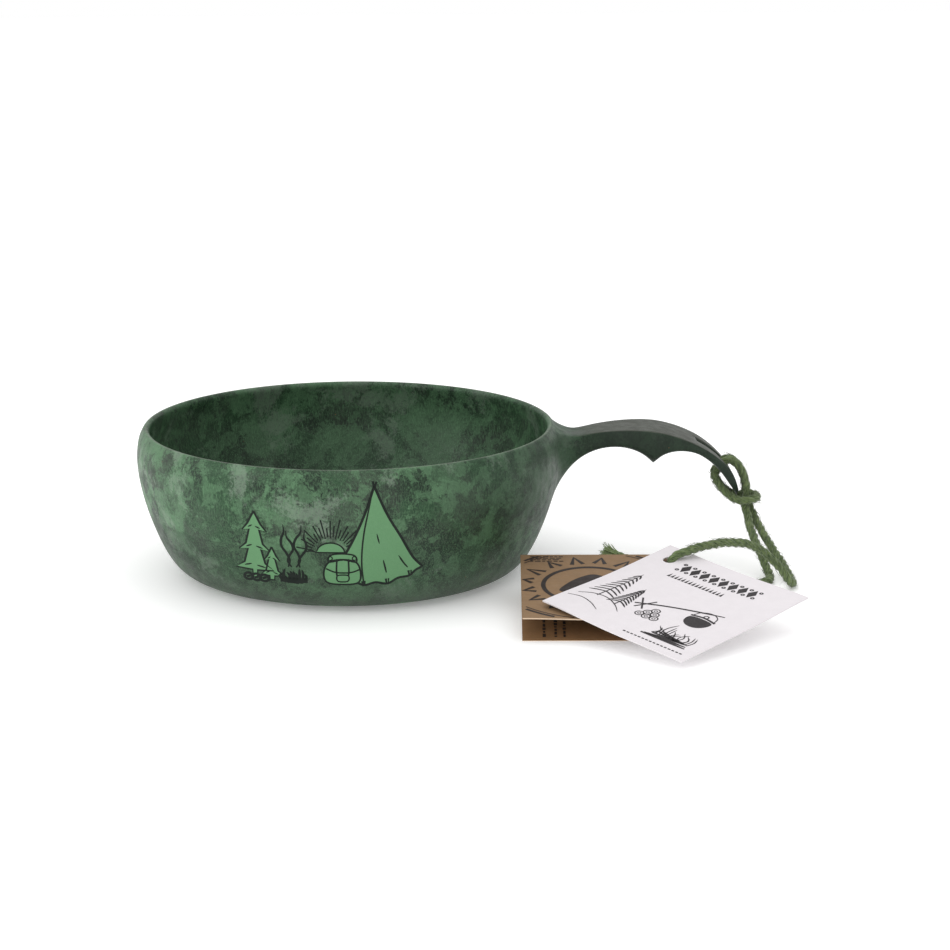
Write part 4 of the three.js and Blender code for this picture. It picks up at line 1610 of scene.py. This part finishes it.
class KUKSA_OT_fold_card(bpy.types.Operator):
    """Hang the folded kraft card with its marks"""

    bl_idname = "kuksa.fold_card"
    bl_label = "Folded card"

    def execute(self, context):
        labels, prints = context.scene.kuksa_labels, context.scene.kuksa_print
        card = FOLD_CARD
        size = (card["width"], card["depth"])
        corner = (LEAF_LEFT, -card["depth"])
        hole = (card["width"] - card["from_right"], -card["from_crease"])
        leaves = (
            (TOP_LEAF_BODY, TOP_LEAF_TILT, LEAF_GAP, labels.kraft, ((corner, 0.5, 26),)),
            # The lower leaf takes the darker kraft tone, painted shade under the top leaf.
            (BOTTOM_LEAF_BODY, BOTTOM_LEAF_TILT, -LEAF_GAP, labels.kraft_lower_shaded, ()),
        )
        ink = ink_material("Kraft ink", prints.kraft_ink, 2.6, 0.25)
        for body, tilt, gap, tone, curls in leaves:
            place = self.leaf_place(tilt) @ Matrix.Translation((0, 0, gap * MM))
            sheet = card_sheet(body + "_sheet", corner, size, hole, labels, place, curls)
            edge = paper_material("Kraft cut edge", labels.kraft_edge, tone, 0.3, 0.06)
            for stock in (self.kraft_stock(body, tone), edge):
                sheet.data.materials.append(stock)
            self.pale_edges(sheet, place)
            finish_piece(sheet, body, "kraft_card", body + "_leaf")
            drawing = self.top_marks() if gap > 0 else self.bottom_marks()
            above = place @ Matrix.Translation((0, 0, CARD_PRINT_PLANE * MM))
            made = drawing.piece(body + "_print", above, sheet, prints.lift * 0.5, LEAF_CUT)
            made.data.materials.append(ink)
            finish_piece(made, body, "kraft_card")
        self.crease(labels)
        return {"FINISHED"}

    def kraft_stock(self, body, tone):
        """The kraft stock of one leaf."""
        return paper_material("Kraft stock " + body, tone, shade(tone, DEEP_KRAFT), 0.5, 0.1)

    def leaf_place(self, tilt):
        """Where a leaf's own plane lies, hinged on the crease."""
        return (
            Matrix.Translation(FOLD_CARD_CREASE)
            @ Matrix.Rotation(math.radians(FOLD_CARD_TURN), 4, "Z")
            @ Matrix.Rotation(math.radians(tilt), 4, "X")
        )

    def pale_edges(self, sheet, place):
        """The cut edges get the pale finish."""
        up = (place.to_3x3() @ Vector((0, 0, 1))).normalized()
        for face in sheet.data.polygons:
            face.material_index = int(abs(face.normal.dot(up)) < 0.5)

    def crease(self, labels):
        """The fold that joins both leaves, rolled over at the back."""
        deselect()
        radius = LEAF_GAP * MM + labels.thickness / 2
        bpy.ops.mesh.primitive_cylinder_add(
            vertices=CREASE_VERTICES, radius=radius,
            depth=(FOLD_CARD["width"] - 2 * LEAF_LEFT) * MM, location=(0, 0, 0),
        )
        roll = bpy.context.object
        roll.name = "fold_card_crease"
        edit(roll, everything=True)
        turn(math.pi / 2, "Y", (0, 0, 0))
        bpy.ops.transform.translate(value=(FOLD_CARD["width"] / 2 * MM, 0, 0))
        bpy.ops.mesh.bisect(plane_co=(0, 0.00002, 0), plane_no=(0, 1, 0), clear_inner=True)
        pick(roll, "faces", lambda f: len(f.verts) > 4)
        bpy.ops.mesh.delete(type="FACE")
        bpy.ops.object.mode_set(mode="OBJECT")
        shade_smooth(roll)
        apply_modifier(roll, "SOLIDIFY", thickness=labels.thickness, offset=-1.0)
        settle(roll, self.leaf_place((TOP_LEAF_TILT + BOTTOM_LEAF_TILT) / 2))
        roll.data.materials.append(self.kraft_stock(TOP_LEAF_BODY, labels.kraft))
        finish_piece(roll, BOTTOM_LEAF_BODY, "kraft_card")

    def top_marks(self):
        """A hill in a ring, with chevrons round it, two outer arcs and rows of short bars."""
        d = Drawing()
        centre = (22.5, -26.5)
        hole = Vector((FOLD_CARD["width"] - FOLD_CARD["from_right"], -FOLD_CARD["from_crease"]))
        d.ring(*centre, 15.2, 1.5)
        d.fill(rounded([
            (12.6, -31.5), (15, -25.5), (19.5, -20), (24, -17.5), (29, -21), (32.2, -27.5),
            (31, -32.8), (22, -34.4),
        ]))
        left, right, front, back = CHEVRON_FIELD
        for i in range(16):
            angle = math.radians(11 + 22.5 * i)
            ahead = Vector((math.cos(angle), math.sin(angle)))
            across = Vector((-ahead.y, ahead.x))
            middle = Vector(centre) + ahead * 21.2
            on_leaf = 1.6 < middle.x < 52 and -52.5 < middle.y < -2.6
            if not on_leaf or (middle - hole).length < 9:
                continue
            point = ahead * (2.4 if i % 2 else 3)
            arm = across * 1.9
            tips = (middle - arm - point, middle + point, middle + arm - point)
            inside = [(min(max(p.x, left), right), min(max(p.y, front), back)) for p in tips]
            d.stroke(inside, 1.5, rounded=False)
        for radius, width in ((28.4, 0.5), (29.8, 1.1)):
            self.clipped_ring(d, centre, radius, width, hole)
        rng = random.Random(SEEDS["top_leaf"])
        for row in range(4):
            x = 3.4
            while x < 13:
                length = rng.uniform(0.9, 2.2)
                d.bar(x + length / 2, -1.8 - row * 1.35, length, 0.7)
                x += length + 0.5
        return d

    def clipped_ring(self, d, centre, radius, width, hole):
        """The parts of a ring that lie on the leaf, clear of its hole."""
        left, right, front, back = ARC_FIELD
        runs = [[]]
        for degree in range(0, 364, 3):
            angle = math.radians(degree)
            x, y = centre[0] + math.cos(angle) * radius, centre[1] + math.sin(angle) * radius
            clear = (Vector((x, y)) - hole).length > 4
            if clear and left < x < right and front < y < back:
                runs[-1].append((x, y))
            else:
                runs.append([])
        for run in runs:
            if len(run) > 2:
                d.stroke(run, width, rounded=False)

    def bottom_marks(self):
        """Columns of small bars, as a block of small print would lie."""
        d, rng = Drawing(), random.Random(SEEDS["bottom_leaf"])
        for x in (7.2, 10.9, 13.7, 31, 33.6, 43):
            y = -53
            while y < -8:
                length = rng.uniform(0.8, 2.4)
                d.bar(x, y + length / 2, length, rng.uniform(0.7, 1.1), math.pi / 2)
                y += length + rng.uniform(0.4, 0.7)
        return d


class KUKSA_PT_panel(bpy.types.Panel):
    """Lists the pieces of the cup in the sidebar"""

    bl_idname = "KUKSA_PT_panel"
    bl_label = "Kuksa Cup"
    bl_space_type = "VIEW_3D"
    bl_region_type = "UI"
    bl_category = "Kuksa"

    def draw(self, context):
        layout = self.layout
        for operator in OPERATORS:
            layout.operator(operator.bl_idname)
        for name, (label, _) in SETTINGS.items():
            box = layout.box()
            box.label(text=label)
            group_settings = getattr(context.scene, name)
            for key in group_settings.__annotations__:
                box.prop(group_settings, key)


OPERATORS = (
    KUKSA_OT_stage, KUKSA_OT_cords, KUKSA_OT_cup, KUKSA_OT_bowl_print, KUKSA_OT_picture_card,
    KUKSA_OT_fold_card,
)
SETTINGS = {
    "kuksa_cup": ("Cup", KuksaCupSettings),
    "kuksa_print": ("Prints", KuksaPrintSettings),
    "kuksa_cord": ("Cord", KuksaCordSettings),
    "kuksa_labels": ("Labels", KuksaLabelSettings),
    "kuksa_stage": ("Stage", KuksaStageSettings),
}


def register():
    """Registers the settings, the operators and the panel."""
    for name, (_, kind) in SETTINGS.items():
        bpy.utils.register_class(kind)
        setattr(bpy.types.Scene, name, bpy.props.PointerProperty(type=kind))
    for operator in OPERATORS:
        bpy.utils.register_class(operator)
    bpy.utils.register_class(KUKSA_PT_panel)


def unregister():
    """Removes what register added."""
    bpy.utils.unregister_class(KUKSA_PT_panel)
    for operator in reversed(OPERATORS):
        bpy.utils.unregister_class(operator)
    for name, (_, kind) in reversed(SETTINGS.items()):
        delattr(bpy.types.Scene, name)
        bpy.utils.unregister_class(kind)


def main():
    register()
    bpy.ops.kuksa.stage()
    bpy.ops.kuksa.cords()
    bpy.ops.kuksa.cup()
    bpy.ops.kuksa.bowl_print()
    bpy.ops.kuksa.picture_card()
    bpy.ops.kuksa.fold_card()


if __name__ == "__main__":
    main()
